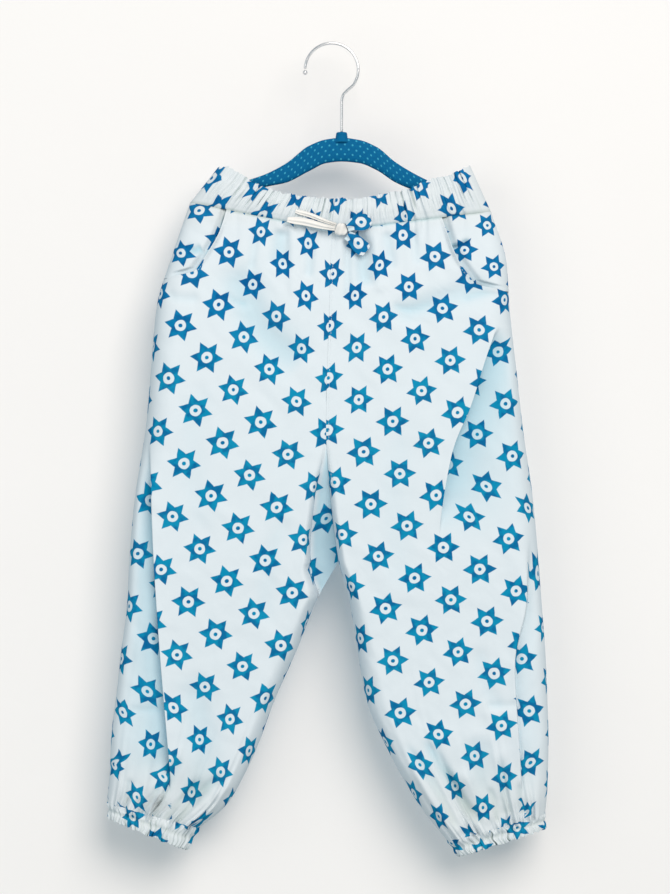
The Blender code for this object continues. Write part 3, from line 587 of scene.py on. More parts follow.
@dataclass(frozen=True)
class StarPrint:
    """Shader group: six-pointed stars with a pale ring and a dot, a little uneven as block prints are."""

    name: str = "star_print"
    row_pitch: float = 59.7
    drop_pitch: float = 49.0
    point_radius: float = 15.2
    notch_radius: float = 8.6
    ring_radius: float = 5.0
    dot_radius: float = 1.75
    softness: float = 0.35
    turn_wander: float = 0.22
    size_wander: float = 0.09
    edge_wander: float = 1.3

    def group(self) -> bpy.types.NodeTree:
        """The group, built once.

        Returns:
            The shader group with the printed share in Ink and a number for each star in Tone.
        """
        found = bpy.data.node_groups.get(self.name)
        if found:
            return found
        tree = new_group(self.name, {"Place": (VECTOR, None)}, {"Ink": FLOAT, "Tone": FLOAT})
        sketch = NodeSketch(tree)
        ins, outs = tree.nodes["Ins"], tree.nodes["Outs"]
        place = ins.outputs["Place"]
        lattice = sketch.node("ShaderNodeGroup", node_tree=HalfDropLattice.group())
        sketch.feed(lattice.inputs["Place"], place)
        lattice.inputs["Row Pitch"].default_value = self.row_pitch * MM
        lattice.inputs["Drop Pitch"].default_value = self.drop_pitch * MM
        across, down = lattice.outputs["Across"], lattice.outputs["Down"]
        dice = sketch.node("ShaderNodeTexWhiteNoise", noise_dimensions="3D")
        sketch.feed(dice.inputs["Vector"], lattice.outputs["Cell"])
        throws = sketch.node("ShaderNodeSeparateColor")
        sketch.feed(throws.inputs[0], dice.outputs["Color"])
        reach = sketch.math(
            "SQRT",
            sketch.math("ADD", sketch.math("MULTIPLY", across, across), sketch.math("MULTIPLY", down, down)),
        )
        grow = sketch.math("MULTIPLY_ADD", throws.outputs[0], self.size_wander, 1 - self.size_wander / 2)
        uneven = sketch.math("SUBTRACT", sketch.noise(place, 170.0, 1.0), 0.5)
        reach_out = sketch.math("MULTIPLY_ADD", uneven, self.edge_wander * MM, sketch.math("MULTIPLY", reach, grow))
        angle = sketch.math("ARCTAN2", down, across)
        turned = sketch.math("MULTIPLY_ADD", throws.outputs[1], self.turn_wander, -self.turn_wander / 2)
        sixths = sketch.math("DIVIDE", sketch.math("ADD", angle, turned), math.pi / 3)
        off_point = sketch.math(
            "MULTIPLY", sketch.math("ABSOLUTE", sketch.math("SUBTRACT", sixths, sketch.math("ROUND", sixths))),
            math.pi / 3,
        )
        along = sketch.math("MULTIPLY", reach_out, sketch.math("COSINE", off_point))
        aside = sketch.math("MULTIPLY", reach_out, sketch.math("SINE", off_point))
        notch_x = self.notch_radius * math.cos(math.pi / 6)
        notch_y = self.notch_radius * math.sin(math.pi / 6)
        edge_length = math.hypot(notch_x - self.point_radius, notch_y)
        normal_x = notch_y / edge_length
        normal_y = (self.point_radius - notch_x) / edge_length
        outside = sketch.math(
            "MULTIPLY_ADD", aside, normal_y,
            sketch.math("MULTIPLY_ADD", along, normal_x, -normal_x * self.point_radius * MM),
        )
        soft = self.softness * MM
        star = sketch.step(outside, soft, -soft)
        ring = sketch.step(reach_out, self.ring_radius * MM - soft, self.ring_radius * MM + soft)
        dot = sketch.step(reach_out, self.dot_radius * MM + soft, self.dot_radius * MM - soft)
        ink = sketch.math("ADD", sketch.math("MULTIPLY", star, ring), dot, clamp=True)
        sketch.feed(outs.inputs["Ink"], ink)
        sketch.feed(outs.inputs["Tone"], throws.outputs[2])
        return tree


class PlainWeave:
    """Shader group: the crossing threads of a plain weave, for a bump."""

    name = "plain_weave"

    @classmethod
    def group(cls) -> bpy.types.NodeTree:
        """The group, built once."""
        found = bpy.data.node_groups.get(cls.name)
        if found:
            return found
        tree = new_group(
            cls.name,
            {"Place": (VECTOR, None), "Thread Pitch": (FLOAT, 0.0006), "Slub": (FLOAT, 0.5)},
            {"Height": FLOAT},
        )
        sketch = NodeSketch(tree)
        ins, outs = tree.nodes["Ins"], tree.nodes["Outs"]
        place = sketch.node("ShaderNodeSeparateXYZ")
        sketch.feed(place.inputs[0], ins.outputs["Place"])
        threads = []
        for axis in (0, 1):
            count = sketch.math("DIVIDE", place.outputs[axis], ins.outputs["Thread Pitch"])
            threads.append(sketch.math("SINE", sketch.math("MULTIPLY", count, 2 * math.pi)))
        crossing = sketch.math("MULTIPLY", threads[0], threads[1])
        slub = sketch.math("SUBTRACT", sketch.noise(ins.outputs["Place"], 900.0, 3.0), 0.5)
        height = sketch.math("MULTIPLY_ADD", slub, ins.outputs["Slub"], sketch.math("MULTIPLY", crossing, 0.5))
        sketch.feed(outs.inputs["Height"], height)
        return tree


@dataclass(frozen=True)
class PrintedCotton:
    """Thin white cotton with the blue star print."""

    name: str = "printed_cotton"
    white: Colour = (0.68, 0.75, 0.795)
    # Near the waist and ankles the white is drawn a little darker and warmer.
    warm_white: Colour = (0.675, 0.735, 0.765)
    # Painted shade: the next three colours darken the cloth where a piece's painted shade is laid. The pale blue one is
    # for folds, recesses and seams, the warm grey one for the gathers at the waist and ankles, and the dark blue-grey
    # one for the deepest recesses and slits.
    painted_shade: Colour = (0.66, 0.86, 0.92)
    warm_painted_shade: Colour = (0.75, 0.79, 0.75)
    deep: Colour = (0.30, 0.36, 0.43)
    star_low: Colour = (0.001, 0.235, 0.43)
    star_high: Colour = (0.001, 0.135, 0.36)
    star_deep: Colour = (0.001, 0.075, 0.26)
    low: float = -330.0
    high: float = -200.0
    warm_below: tuple[float, float] = (-620.0, -700.0)
    warm_above: tuple[float, float] = (-172.0, -150.0)
    roughness: float = 0.88
    printed: bool = True

    def material(self) -> bpy.types.Material:
        """The material, built once.

        Returns:
            A Principled material whose print follows the piece's own UV map.
        """
        found = bpy.data.materials.get(self.name)
        if found:
            return found
        material = bpy.data.materials.new(self.name)
        material.use_nodes = True
        tree = material.node_tree
        sketch = NodeSketch(tree)
        shader = tree.nodes["Principled BSDF"]
        shader.inputs["Roughness"].default_value = self.roughness
        shader.inputs["Specular IOR Level"].default_value = 0.06
        place = sketch.node("ShaderNodeUVMap", uv_map="print").outputs[0]
        # Painted shade: this point attribute says how far the cloth is darkened towards the shade colours, from 0 to 2.
        painted_shade = sketch.node("ShaderNodeAttribute", attribute_name="painted_shade").outputs["Fac"]
        # Random mottle, mixing in a little of the painted-shade colour.
        mottle = sketch.noise(place, 28.0, 3.0)
        cloth = sketch.tint(sketch.math("MULTIPLY", mottle, 0.10), self.white, self.painted_shade)
        valley_shade = self.painted_shade
        if self.printed:
            stars = sketch.node("ShaderNodeGroup", node_tree=StarPrint().group())
            sketch.feed(stars.inputs["Place"], place)
            height = sketch.node("ShaderNodeSeparateXYZ")
            sketch.feed(height.inputs[0], sketch.node("ShaderNodeTexCoord").outputs["Object"])
            # At the waist and ankles the white turns darker and warmer, and the painted shade there turns warm grey.
            at_ankle = sketch.step(height.outputs[2], self.warm_below[0] * MM, self.warm_below[1] * MM)
            at_waist = sketch.step(height.outputs[2], self.warm_above[0] * MM, self.warm_above[1] * MM)
            warm = sketch.math("MAXIMUM", at_ankle, at_waist)
            cloth = sketch.tint(warm, cloth, self.warm_white)
            valley_shade = sketch.tint(warm, self.painted_shade, self.warm_painted_shade)
            upper = sketch.step(height.outputs[2], self.low * MM, self.high * MM)
            blue = sketch.tint(upper, self.star_low, self.star_high)
            soaked = sketch.step(sketch.noise(place, 95.0, 2.0), 0.42, 0.62)
            blue = sketch.tint(sketch.math("MULTIPLY", soaked, 0.75), blue, self.star_deep)
            worn = sketch.math("MULTIPLY_ADD", sketch.noise(place, 420.0, 2.0), 0.20, -0.05, clamp=True)
            tone = sketch.math("MULTIPLY_ADD", stars.outputs["Tone"], 0.08, worn)
            blue = sketch.tint(tone, blue, (0.03, 0.42, 0.58))
            cloth = sketch.tint(stars.outputs["Ink"], cloth, blue)
        # Painted shade: up to 1 the cloth is multiplied by the shade colour, and past 1 also by the dark blue-grey.
        soft_shade = sketch.math("MINIMUM", painted_shade, 1.0)
        shaded = sketch.tint(soft_shade, cloth, sketch.tint(1.0, cloth, valley_shade, "MULTIPLY"))
        dark_shade = sketch.math("SUBTRACT", painted_shade, 1.0, clamp=True)
        shaded = sketch.tint(dark_shade, shaded, sketch.tint(1.0, shaded, self.deep, "MULTIPLY"))
        sketch.feed(shader.inputs["Base Color"], shaded)
        weave = sketch.node("ShaderNodeGroup", node_tree=PlainWeave.group())
        sketch.feed(weave.inputs["Place"], place)
        bump = sketch.node("ShaderNodeBump")
        bump.inputs["Strength"].default_value = 0.12
        bump.inputs["Distance"].default_value = 0.12 * MM
        sketch.feed(bump.inputs["Height"], weave.outputs["Height"])
        sketch.feed(shader.inputs["Normal"], bump.outputs["Normal"])
        return material


@dataclass(frozen=True)
class FlockedPlastic:
    """Blue flocked hanger with staggered rows of tiny pale dots."""

    name: str = "flocked_plastic"
    blue: Colour = (0.001, 0.150, 0.335)
    deep: Colour = (0.001, 0.085, 0.22)
    dot: Colour = (0.045, 0.34, 0.50)
    dot_row: float = 7.0
    dot_drop: float = 8.8
    dot_radius: float = 0.85

    def material(self) -> bpy.types.Material:
        """The material, built once.

        Returns:
            A matt material whose dots follow the piece's own UV map.
        """
        found = bpy.data.materials.get(self.name)
        if found:
            return found
        material = bpy.data.materials.new(self.name)
        material.use_nodes = True
        tree = material.node_tree
        sketch = NodeSketch(tree)
        shader = tree.nodes["Principled BSDF"]
        shader.inputs["Roughness"].default_value = 0.72
        shader.inputs["Specular IOR Level"].default_value = 0.08
        place = sketch.node("ShaderNodeUVMap", uv_map="print").outputs[0]
        lattice = sketch.node("ShaderNodeGroup", node_tree=HalfDropLattice.group())
        sketch.feed(lattice.inputs["Place"], place)
        lattice.inputs["Row Pitch"].default_value = self.dot_row * MM
        lattice.inputs["Drop Pitch"].default_value = self.dot_drop * MM
        across, down = lattice.outputs["Across"], lattice.outputs["Down"]
        reach = sketch.math(
            "SQRT",
            sketch.math("ADD", sketch.math("MULTIPLY", across, across), sketch.math("MULTIPLY", down, down)),
        )
        dots = sketch.step(reach, (self.dot_radius + 0.25) * MM, (self.dot_radius - 0.25) * MM)
        nap = sketch.noise(place, 420.0, 4.0)
        flock = sketch.tint(nap, self.deep, self.blue)
        sketch.feed(shader.inputs["Base Color"], sketch.tint(dots, flock, self.dot))
        bump = sketch.node("ShaderNodeBump")
        bump.inputs["Strength"].default_value = 0.35
        bump.inputs["Distance"].default_value = 0.2 * MM
        height = sketch.math("MULTIPLY_ADD", dots, 1.2, sketch.noise(place, 1400.0, 2.0))
        sketch.feed(bump.inputs["Height"], height)
        sketch.feed(shader.inputs["Normal"], bump.outputs["Normal"])
        return material


@dataclass(frozen=True)
class PlatedWire:
    """Bright plated steel wire."""

    name: str = "plated_wire"
    colour: Colour = (0.78, 0.79, 0.80)

    def material(self) -> bpy.types.Material:
        """The material, built once."""
        found = bpy.data.materials.get(self.name)
        if found:
            return found
        material = bpy.data.materials.new(self.name)
        material.use_nodes = True
        sketch = NodeSketch(material.node_tree)
        shader = material.node_tree.nodes["Principled BSDF"]
        shader.inputs["Metallic"].default_value = 1.0
        place = sketch.node("ShaderNodeTexCoord").outputs["Object"]
        handled = sketch.noise(place, 220.0, 3.0)
        sketch.feed(shader.inputs["Base Color"], sketch.tint(handled, self.colour, (0.62, 0.63, 0.65)))
        sketch.feed(shader.inputs["Roughness"], sketch.math("MULTIPLY_ADD", handled, 0.16, 0.10))
        return material


@dataclass(frozen=True)
class PlasterWall:
    """Pale limewashed plaster for the backdrop, open to light and to a view from behind."""

    name: str = "plaster_wall"
    colour: Colour = (0.86, 0.86, 0.855)

    def material(self) -> bpy.types.Material:
        """The material, built once."""
        found = bpy.data.materials.get(self.name)
        if found:
            return found
        material = bpy.data.materials.new(self.name)
        material.use_nodes = True
        sketch = NodeSketch(material.node_tree)
        shader = material.node_tree.nodes["Principled BSDF"]
        shader.inputs["Roughness"].default_value = 0.9
        shader.inputs["Specular IOR Level"].default_value = 0.1
        place = sketch.node("ShaderNodeTexCoord").outputs["Object"]
        cloud = sketch.noise(place, 3.0, 4.0)
        sketch.feed(shader.inputs["Base Color"], sketch.tint(cloud, self.colour, (0.83, 0.83, 0.825)))
        from_behind = sketch.node("ShaderNodeNewGeometry").outputs["Backfacing"]
        ray = sketch.node("ShaderNodeLightPath").outputs
        seen = sketch.math("ADD", ray["Is Camera Ray"], ray["Is Glossy Ray"], clamp=True)
        in_front = sketch.math("SUBTRACT", 1.0, from_behind)
        sketch.feed(shader.inputs["Alpha"], sketch.math("MULTIPLY", seen, in_front))
        bump = sketch.node("ShaderNodeBump")
        bump.inputs["Strength"].default_value = 0.2
        bump.inputs["Distance"].default_value = 2 * MM
        sketch.feed(bump.inputs["Height"], sketch.noise(place, 14.0, 6.0))
        sketch.feed(shader.inputs["Normal"], bump.outputs["Normal"])
        return material


@dataclass
class Skin:
    """Grids of a cloth piece: outer points, its print coordinates, and how much painted shade it gets."""

    outer: Array
    place: Array
    painted_shade: Array
    ring: bool = False
    wall: float = 0.5

    def normals(self, outward: Array) -> Array:
        """Directions out of the cloth at each grid point.

        Args:
            outward: Rough outward directions, which settle the sign for the whole piece.

        Returns:
            Unit directions on the same grid.
        """
        across = np.gradient(self.outer, axis=1)
        if self.ring:
            across = (np.roll(self.outer, -1, axis=1) - np.roll(self.outer, 1, axis=1)) / 2
        downward = np.gradient(self.outer, axis=0)
        normal = np.cross(across, downward)
        normal /= np.maximum(np.linalg.norm(normal, axis=-1, keepdims=True), 1e-9)
        return normal * (1 if float((normal * outward).sum()) > 0 else -1)

    def build(self, name: str, outward: Array, material: bpy.types.Material) -> bpy.types.Object:
        """A closed thin wall under the outer points.

        Args:
            name: The piece's name.
            outward: Rough outward directions.
            material: The piece's material.

        Returns:
            The piece's object, at the origin.
        """
        inner = self.outer - self.normals(outward) * self.wall
        rows, columns = self.outer.shape[:2]
        points = np.concatenate([self.outer.reshape(-1, 3), inner.reshape(-1, 3)]) * MM
        index = np.arange(rows * columns).reshape(rows, columns)
        if self.ring:
            index = np.concatenate([index, index[:, :1]], axis=1)
        under = index + rows * columns
        sheet = np.stack([index[:-1, :-1], index[1:, :-1], index[1:, 1:], index[:-1, 1:]], axis=-1)
        lining = np.stack([under[:-1, :-1], under[:-1, 1:], under[1:, 1:], under[1:, :-1]], axis=-1)
        head = np.stack([index[0, :-1], index[0, 1:], under[0, 1:], under[0, :-1]], axis=-1)
        foot = np.stack([index[-1, 1:], index[-1, :-1], under[-1, :-1], under[-1, 1:]], axis=-1)
        quads = [sheet.reshape(-1, 4), lining.reshape(-1, 4), head, foot]
        if not self.ring:
            quads.append(np.stack([index[1:, 0], index[:-1, 0], under[:-1, 0], under[1:, 0]], axis=-1))
            quads.append(np.stack([index[:-1, -1], index[1:, -1], under[1:, -1], under[:-1, -1]], axis=-1))
        faces = np.concatenate(quads)
        place = np.concatenate([self.place.reshape(-1, 2)] * 2)
        painted_shade = np.concatenate([self.painted_shade.reshape(-1)] * 2)
        return add_piece(name, points, faces, place, painted_shade, material)


def add_piece(
    name: str, points: Array, faces: Array, place: Array, painted_shade: Array, material: bpy.types.Material
) -> bpy.types.Object:
    """A piece from points and quads, facing outwards.

    Args:
        name: The piece's name.
        points: Points in metres.
        faces: Four point numbers for each face.
        place: Print coordinates of each point.
        painted_shade: How much painted shade each point gets, from 0 to 1.
        material: The piece's material.

    Returns:
        The piece's object, at the origin.
    """
    a, b, c, d = (points[faces[:, i]] for i in range(4))
    volume = np.einsum("ij,ij->i", a, np.cross(b, c)).sum() + np.einsum("ij,ij->i", a, np.cross(c, d)).sum()
    if volume < 0:
        faces = faces[:, ::-1]
    mesh = bpy.data.meshes.new(name)
    mesh.from_pydata(points.tolist(), [], faces.tolist())
    corners = np.zeros(len(mesh.loops), np.int32)
    mesh.loops.foreach_get("vertex_index", corners)
    mesh.uv_layers.new(name="print").data.foreach_set("uv", place[corners].astype(np.float32).ravel())
    layer = mesh.attributes.new("painted_shade", "FLOAT", "POINT")
    layer.data.foreach_set("value", painted_shade.astype(np.float32))
    mesh.materials.append(material)
    mesh.shade_smooth()
    mesh.set_sharp_from_angle(angle=math.radians(60))
    piece = bpy.data.objects.new(name, mesh)
    bpy.context.scene.collection.objects.link(piece)
    return piece


def settle(piece: bpy.types.Object, slot: Slot, *nodes: str) -> bpy.types.Object:
    """Rides a finished piece on the body, in place of the solids that it stands for."""
    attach(piece, BODY)
    if nodes:
        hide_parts(*nodes)
    log.info("built %s, %d faces", piece.name, len(piece.data.polygons))
    return piece


@dataclass
class LegShape:
    """The drape of one leg: where the cloth is for a place across and down a panel."""

    side: Side
    side_round: float = 22.0
    outer_rim: float = 14.0
    inner_rim: float = 10.0
    fold_fade: float = 0.18
    waist_waves: int = 16
    waist_wave_height: float = 1.6
    waist_wave_fade: float = 26.0
    ankle_waves: int = 7
    ankle_wave_height: float = 3.6
    ankle_wave_fade: float = 40.0
    seam_half: float = 0.04
    puckers: int = 30
    pucker_height: float = 0.8
    pucker_fade: float = 9.0
    seam_groove: float = 1.3

    def section(self, down: Array) -> Section:
        """The leg's section at each place down the leg.

        Args:
            down: Places down the leg, 0 at the waist seam and 12 at the ankle seam.

        Returns:
            A section whose columns are arrays.
        """
        table = SECTIONS[self.side]
        places = range(len(table))
        found = Section(*(soft_curve(places, column, down) for column in zip(*table)))
        seam = Section(*zip(*table[: CROTCH + 1]))
        inseam = Section(*zip(*table[CROTCH:]))
        inner = {}
        for name in ("in_x", "in_z"):
            high = soft_curve(places[: CROTCH + 1], getattr(seam, name), down)
            low = soft_curve(places[CROTCH:], getattr(inseam, name), down)
            inner[name] = np.where(down <= CROTCH, high, low)
        return found._replace(**inner)

    def folds(self, face: Face, x: Array, z: Array) -> tuple[Array, Array, Array]:
        """Depth, sideways tuck and painted shade that the folds and creases give.

        Args:
            face: The panel's face.
            x: Places across on the front view.
            z: Heights.

        Returns:
            How far the cloth moves out, how far it moves along x, and how much painted shade it gets.
        """
        out = np.zeros(np.shape(x))
        aside = np.zeros(np.shape(x))
        back = np.zeros(np.shape(x))
        for fold in FOLDS + CREASES:
            if (fold.side, fold.face) != (self.side, face):
                continue
            signed, along = path_distance(fold.path, x, z)
            fade = smooth(along / self.fold_fade) * smooth((1 - along) / self.fold_fade)
            ridge = fold.height * fade * np.exp(-((signed / fold.width) ** 2))
            out += ridge
            # Painted shade in the fold's trough.
            back += fold.shade * np.maximum(-ridge, 0)
            if not fold.drop:
                continue
            past = signed if fold.drop > 0 else -signed
            shelf = smooth(past / fold.edge + 0.5) * np.exp(-np.maximum(past, 0) / fold.reach)
            out -= abs(fold.drop) * fade * shelf
            # Painted shade on the cloth that the fold sets back.
            back += fold.shade * abs(fold.drop) * fade * shelf
            under = smooth(past / fold.edge + 0.5) * (1 - smooth((past / fold.edge - 0.5) / 2.5))
            aside -= self.side.value * fold.tuck * fade * under
        return out, aside, back

    def slid(self, face: Face, flat: Array) -> Array:
        """Where the print is read, after the cloth past a fold has moved along it.

        Args:
            face: The panel's face.
            flat: Front-view places, in a last axis of two.

        Returns:
            The places moved against each fold's slide.
        """
        moved = flat.copy()
        for fold in FOLDS:
            if (fold.side, fold.face) == (self.side, face) and any(fold.slide):
                signed, along = path_distance(fold.path, flat[..., 0], flat[..., 1])
                past = signed if fold.drop > 0 else -signed
                share = smooth(past / fold.edge + 0.5) * smooth(along / 0.2)
                moved -= share[..., None] * np.array(fold.slide)
        return moved

    def waist_wave(self, x: Array, z_below: Array | float) -> Array:
        """Gathers under and along the waistband, by place across the whole waist."""
        right = SECTIONS[Side.RIGHT][0].out_x
        part = (x - right) / (SECTIONS[Side.LEFT][0].out_x - right)
        ends = smooth(part / 0.1) * smooth((1 - part) / 0.1)
        main = self.waist_wave_height * np.exp(-z_below / self.waist_wave_fade) * waves(self.waist_waves, part, 0.1)
        fine = self.pucker_height * np.exp(-z_below / self.pucker_fade) * ruffle(part, self.puckers, 0.2)
        return ends * (0.8 * main + fine)

    def surface(self, face: Face, share: Array, down: Array) -> tuple[Array, Array, Array]:
        """Outer points of a leg panel.

        Args:
            face: The panel's face.
            share: Places across, 0 at the inner edge and 1 at the side seam.
            down: Places down the leg.

        Returns:
            The points, the front-view places before the cloth was tucked, and the painted shade.
        """
        section = self.section(down)
        run_x = section.out_x - section.in_x
        run_z = section.out_z - section.in_z
        width = np.hypot(run_x, run_z)
        x = section.in_x + run_x * share
        z = section.in_z + run_z * share
        half = section.front if face is Face.FRONT else section.back
        opened = section.open_front if face is Face.FRONT else section.open_back
        recess = section.recess if face is Face.FRONT else 0 * section.recess
        outer_turn = rise((1 - share) * width / self.side_round)
        inner_turn = rise((share - recess) * width / section.turn)
        cover = outer_turn * (opened + (1 - opened) * inner_turn)
        folds, aside, back = self.folds(face, x, z)
        top = SECTIONS[self.side][0]
        z_top = top.in_z + (top.out_z - top.in_z) * share
        folds = folds + self.waist_wave(x, np.maximum(z_top - z, 0))
        to_ankle = LAST - down
        ankle = waves(self.ankle_waves, share, 0.3 * self.side.value)
        fine = waves(19, share, 0.15 * self.side.value + (0.2 if face is Face.BACK else 0.0))
        folds = folds + self.ankle_wave_height * np.exp(-to_ankle) * ankle
        folds = folds + 1.1 * np.exp(-to_ankle / 0.45) * fine
        seed = 0.37 * self.side.value + (0.5 if face is Face.BACK else 0.0)
        loose = 0.55 * rumple(x, z, 64.0, 1 + seed) + 0.3 * rumple(x, z, 27.0, 2 + seed)
        loose = loose + 0.10 * rumple(x, z, 11.0, 3 + seed)
        seam = np.exp(-((np.maximum(z_top - z, 0) / self.seam_groove) ** 2))
        folds = folds - 0.9 * seam
        inner_rim = opened + (1 - opened) * smooth(share * width / self.inner_rim)
        rim = smooth((1 - share) * width / self.outer_rim) * inner_rim
        depth = np.maximum(half * cover + (folds + loose) * rim, 0)
        # Painted shade: greyer in fold troughs, on cloth set back by a fold, along the waist seam's groove, and on the
        # recess by the leg's inner edge.
        painted_shade = np.clip(back / 9.0 + 1.1 * seam, 0, 2) * rim
        painted_shade = np.maximum(painted_shade, 0.85 * smooth((recess - share) / 0.03) * (recess > 0.01))
        points = np.stack(
            [x + aside * rim + self.side.value * self.seam_half, face.value * (depth + self.seam_half), z],
            axis=-1,
        )
        return points, np.stack([x, z], axis=-1), painted_shade


@dataclass(frozen=True)
class PocketMouth:
    """Slanted pocket opening: the front panel's cut edge and where down the leg it ends."""

    edge: tuple[tuple[float, float], ...]
    end: float
    turn: float = 0.24
    gape: float = 3.5

    def cut(self, leg: LegShape, down: Array) -> Array:
        """The outer edge of the front panel at each place down the leg, as a share of the width."""
        table = np.array(self.edge, float)
        held = np.minimum(down, self.end)
        section = leg.section(held)
        share = np.full(np.shape(down), 0.8)
        for _ in range(8):
            z = section.in_z + (section.out_z - section.in_z) * share
            share = (soft_curve(-table[:, 1], table[:, 0], -z) - section.in_x) / (section.out_x - section.in_x)
        return share + (1 - share) * smooth((down - self.end) / self.turn)


POCKETS: dict[Side, PocketMouth] = {
    Side.RIGHT: PocketMouth(((-95, -140), (-104, -170), (-114, -188), (-126, -206)), 1.24),
    Side.LEFT: PocketMouth(((91, -140), (99, -165), (110, -194), (125, -216)), 1.44),
}

LAYS: dict[tuple[Side, Face], PrintLay] = {
    (Side.RIGHT, Face.FRONT): PrintLay((-76.5, -388.8), (58.8, -10.4), (-10.2, -47.5)),
    (Side.LEFT, Face.FRONT): PrintLay((58.0, -387.4), (58.5, 7.9), (6.6, -46.8)),
    (Side.RIGHT, Face.BACK): PrintLay((-90.0, -380.0), (58.9, -9.0), (-9.0, -47.6)),
    (Side.LEFT, Face.BACK): PrintLay((70.0, -396.0), (58.9, 9.0), (9.0, -47.6)),
}


@dataclass
class Gathering:
    """Print drawn together under the waistband, towards the centre seam."""

    calm_x: dict[Side, float] = field(default_factory=lambda: {Side.RIGHT: -121.5, Side.LEFT: 99.0})
    strength: dict[Side, float] = field(default_factory=lambda: {Side.RIGHT: 0.0020, Side.LEFT: 0.00233})
    foot_z: float = -348.0
    span: float = 153.0
    ankle_x: dict[Side, float] = field(default_factory=lambda: {Side.RIGHT: -99.0, Side.LEFT: 144.0})
    ankle_z: dict[Side, float] = field(default_factory=lambda: {Side.RIGHT: -565.0, Side.LEFT: -600.0})
    ankle_span: dict[Side, float] = field(default_factory=lambda: {Side.RIGHT: 60.0, Side.LEFT: 95.0})
    ankle_strength: float = 0.26

    def shift(self, side: Side, x: Array, z: Array) -> Array:
        """How much further in the print lies than the cloth shows, in millimetres along x."""
        away = np.maximum((self.calm_x[side] - x) * side.value, 0)
        held = np.clip((z - self.foot_z) / self.span, 0, 1.1)
        drawn = smooth((self.ankle_z[side] - z) / self.ankle_span[side]) * (x - self.ankle_x[side])
        return self.ankle_strength * drawn - side.value * self.strength[side] * away**2 * held


def arc_surplus(points: Array, flat_x: Array, start: int) -> Array:
    """Cloth taken up by folds and turns along each row, counted from a start column.

    Args:
        points: Grid of outer points.
        flat_x: Front-view places across, before tucks.
        start: Column where the count starts.

    Returns:
        Signed extra length along each row, on the same grid.
    """
    step = np.hypot(np.diff(points[..., 0], axis=1), np.diff(points[..., 1], axis=1))
    extra = step - np.abs(np.diff(flat_x, axis=1))
    way = np.sign(np.mean(np.diff(flat_x, axis=1)))
    total = np.concatenate([np.zeros((len(extra), 1)), np.cumsum(extra, axis=1)], axis=1)
    return way * (total - total[:, start : start + 1])


@dataclass
class LegPanel:
    """One printed leg panel, front or back."""

    leg: LegShape
    face: Face
    columns: int = 176
    rows: int = 206
    guide_columns: float = 0.12
    guide_lead: float = 22.0
    guide_fade: float = 26.0
    recess_columns: tuple[float, float] = (0.05, 0.13)
    recess_turn: float = 0.06
    columns_from: float = 0.45
    print_start: float = 0.45

    @property
    def name(self) -> str:
        """The panel's name, as its node's with the word cloth."""
        return f"cloth_leg_{self.face.word}_{self.leg.side.word}"

    def shares(self, down: Array) -> Array:
        """The columns' places on each row, close together where the cloth turns or folds."""
        even = np.linspace(0, 1, self.columns + 1)
        column = 0.6 * even + 0.4 * (0.5 - 0.5 * np.cos(np.pi * even))
        if self.face is Face.BACK:
            return np.tile(column, (len(down), 1))
        low_column, high_column = self.recess_columns
        side = self.leg.side
        fold = GUIDE_FOLD[side]
        path = np.array(fold.path, float)
        section = self.leg.section(down)
        share = np.full(len(down), 0.8)
        for _ in range(8):
            z = section.in_z + (section.out_z - section.in_z) * share
            line_x = soft_curve(-path[:, 1], path[:, 0], -z)
            share = (line_x - section.in_x) / (section.out_x - section.in_x)
        width = np.abs(section.out_x - section.in_x)
        z = section.in_z + (section.out_z - section.in_z) * share
        above = smooth((path[0, 1] + self.guide_lead - z) / self.guide_fade)
        weight = above * smooth((z - path[-1, 1] + self.guide_lead) / self.guide_fade)
        middle = float(np.mean(share[weight > 0.5]))
        low, high = middle - self.guide_columns / 2, min(middle + self.guide_columns / 2, 0.97)
        reach = 1.6 * fold.edge / width
        fold_low = low * (1 - weight) + (share - reach) * weight
        fold_high = high * (1 - weight) + np.minimum(share + reach, 0.985) * weight
        edge = np.maximum(section.recess, 0.03)
        placed = np.array(
            [
                np.interp(column, (0, low_column, high_column, low, high, 1), (0, e, e + self.recess_turn, a, b, 1))
                for e, a, b in zip(edge, fold_low, fold_high)
            ]
        )
        cut = POCKETS[side].cut(self.leg, down)[:, None]
        past = np.maximum(placed - self.columns_from, 0)
        return np.minimum(placed, self.columns_from) + past * (cut - self.columns_from) / (1 - self.columns_from)

    def grids(self) -> tuple[Skin, Array, Array]:
        """The panel's skin, and the shares and places down the leg of its grid."""
        down = np.linspace(0, LAST, self.rows + 1)
        if self.face is Face.FRONT:
            mouth = POCKETS[self.leg.side]
            turn = np.linspace(mouth.end, mouth.end + mouth.turn, 9)
            down = np.unique(np.round(np.concatenate([down, turn]), 4))
        share = self.shares(down)
        row = np.repeat(down[:, None], share.shape[1], axis=1)
        points, flat, painted_shade = self.leg.surface(self.face, share, row)
        start = int(self.print_start * self.columns)
        extra = arc_surplus(points, flat[..., 0], start)
        if self.face is Face.FRONT:
            mouth = POCKETS[self.leg.side]
            edge = np.linspace(0, 1, share.shape[1])[None, :]
            gape = np.exp(-(((1 - edge) / 0.05) ** 2)) * np.sin(np.pi * np.clip(row / mouth.end, 0, 1))
            points[..., 1] -= mouth.gape * gape
        gathered = Gathering().shift(self.leg.side, flat[..., 0], flat[..., 1])
        slid = self.leg.slid(self.face, flat)
        lay = LAYS[(self.leg.side, self.face)]
        place = lay.place(slid[..., 0] + extra + gathered, slid[..., 1])
        return Skin(points, place, painted_shade), share, row

    def dress(self) -> bpy.types.Object:
        """Builds the panel in place of its solid."""
        skin, _, _ = self.grids()
        outward = np.zeros_like(skin.outer)
        outward[..., 1] = self.face.value
        piece = skin.build(self.name, outward, PrintedCotton().material())
        settle(piece, Slot.COTTON, f"leg_{self.face.word}_{self.leg.side.word}")
        return piece


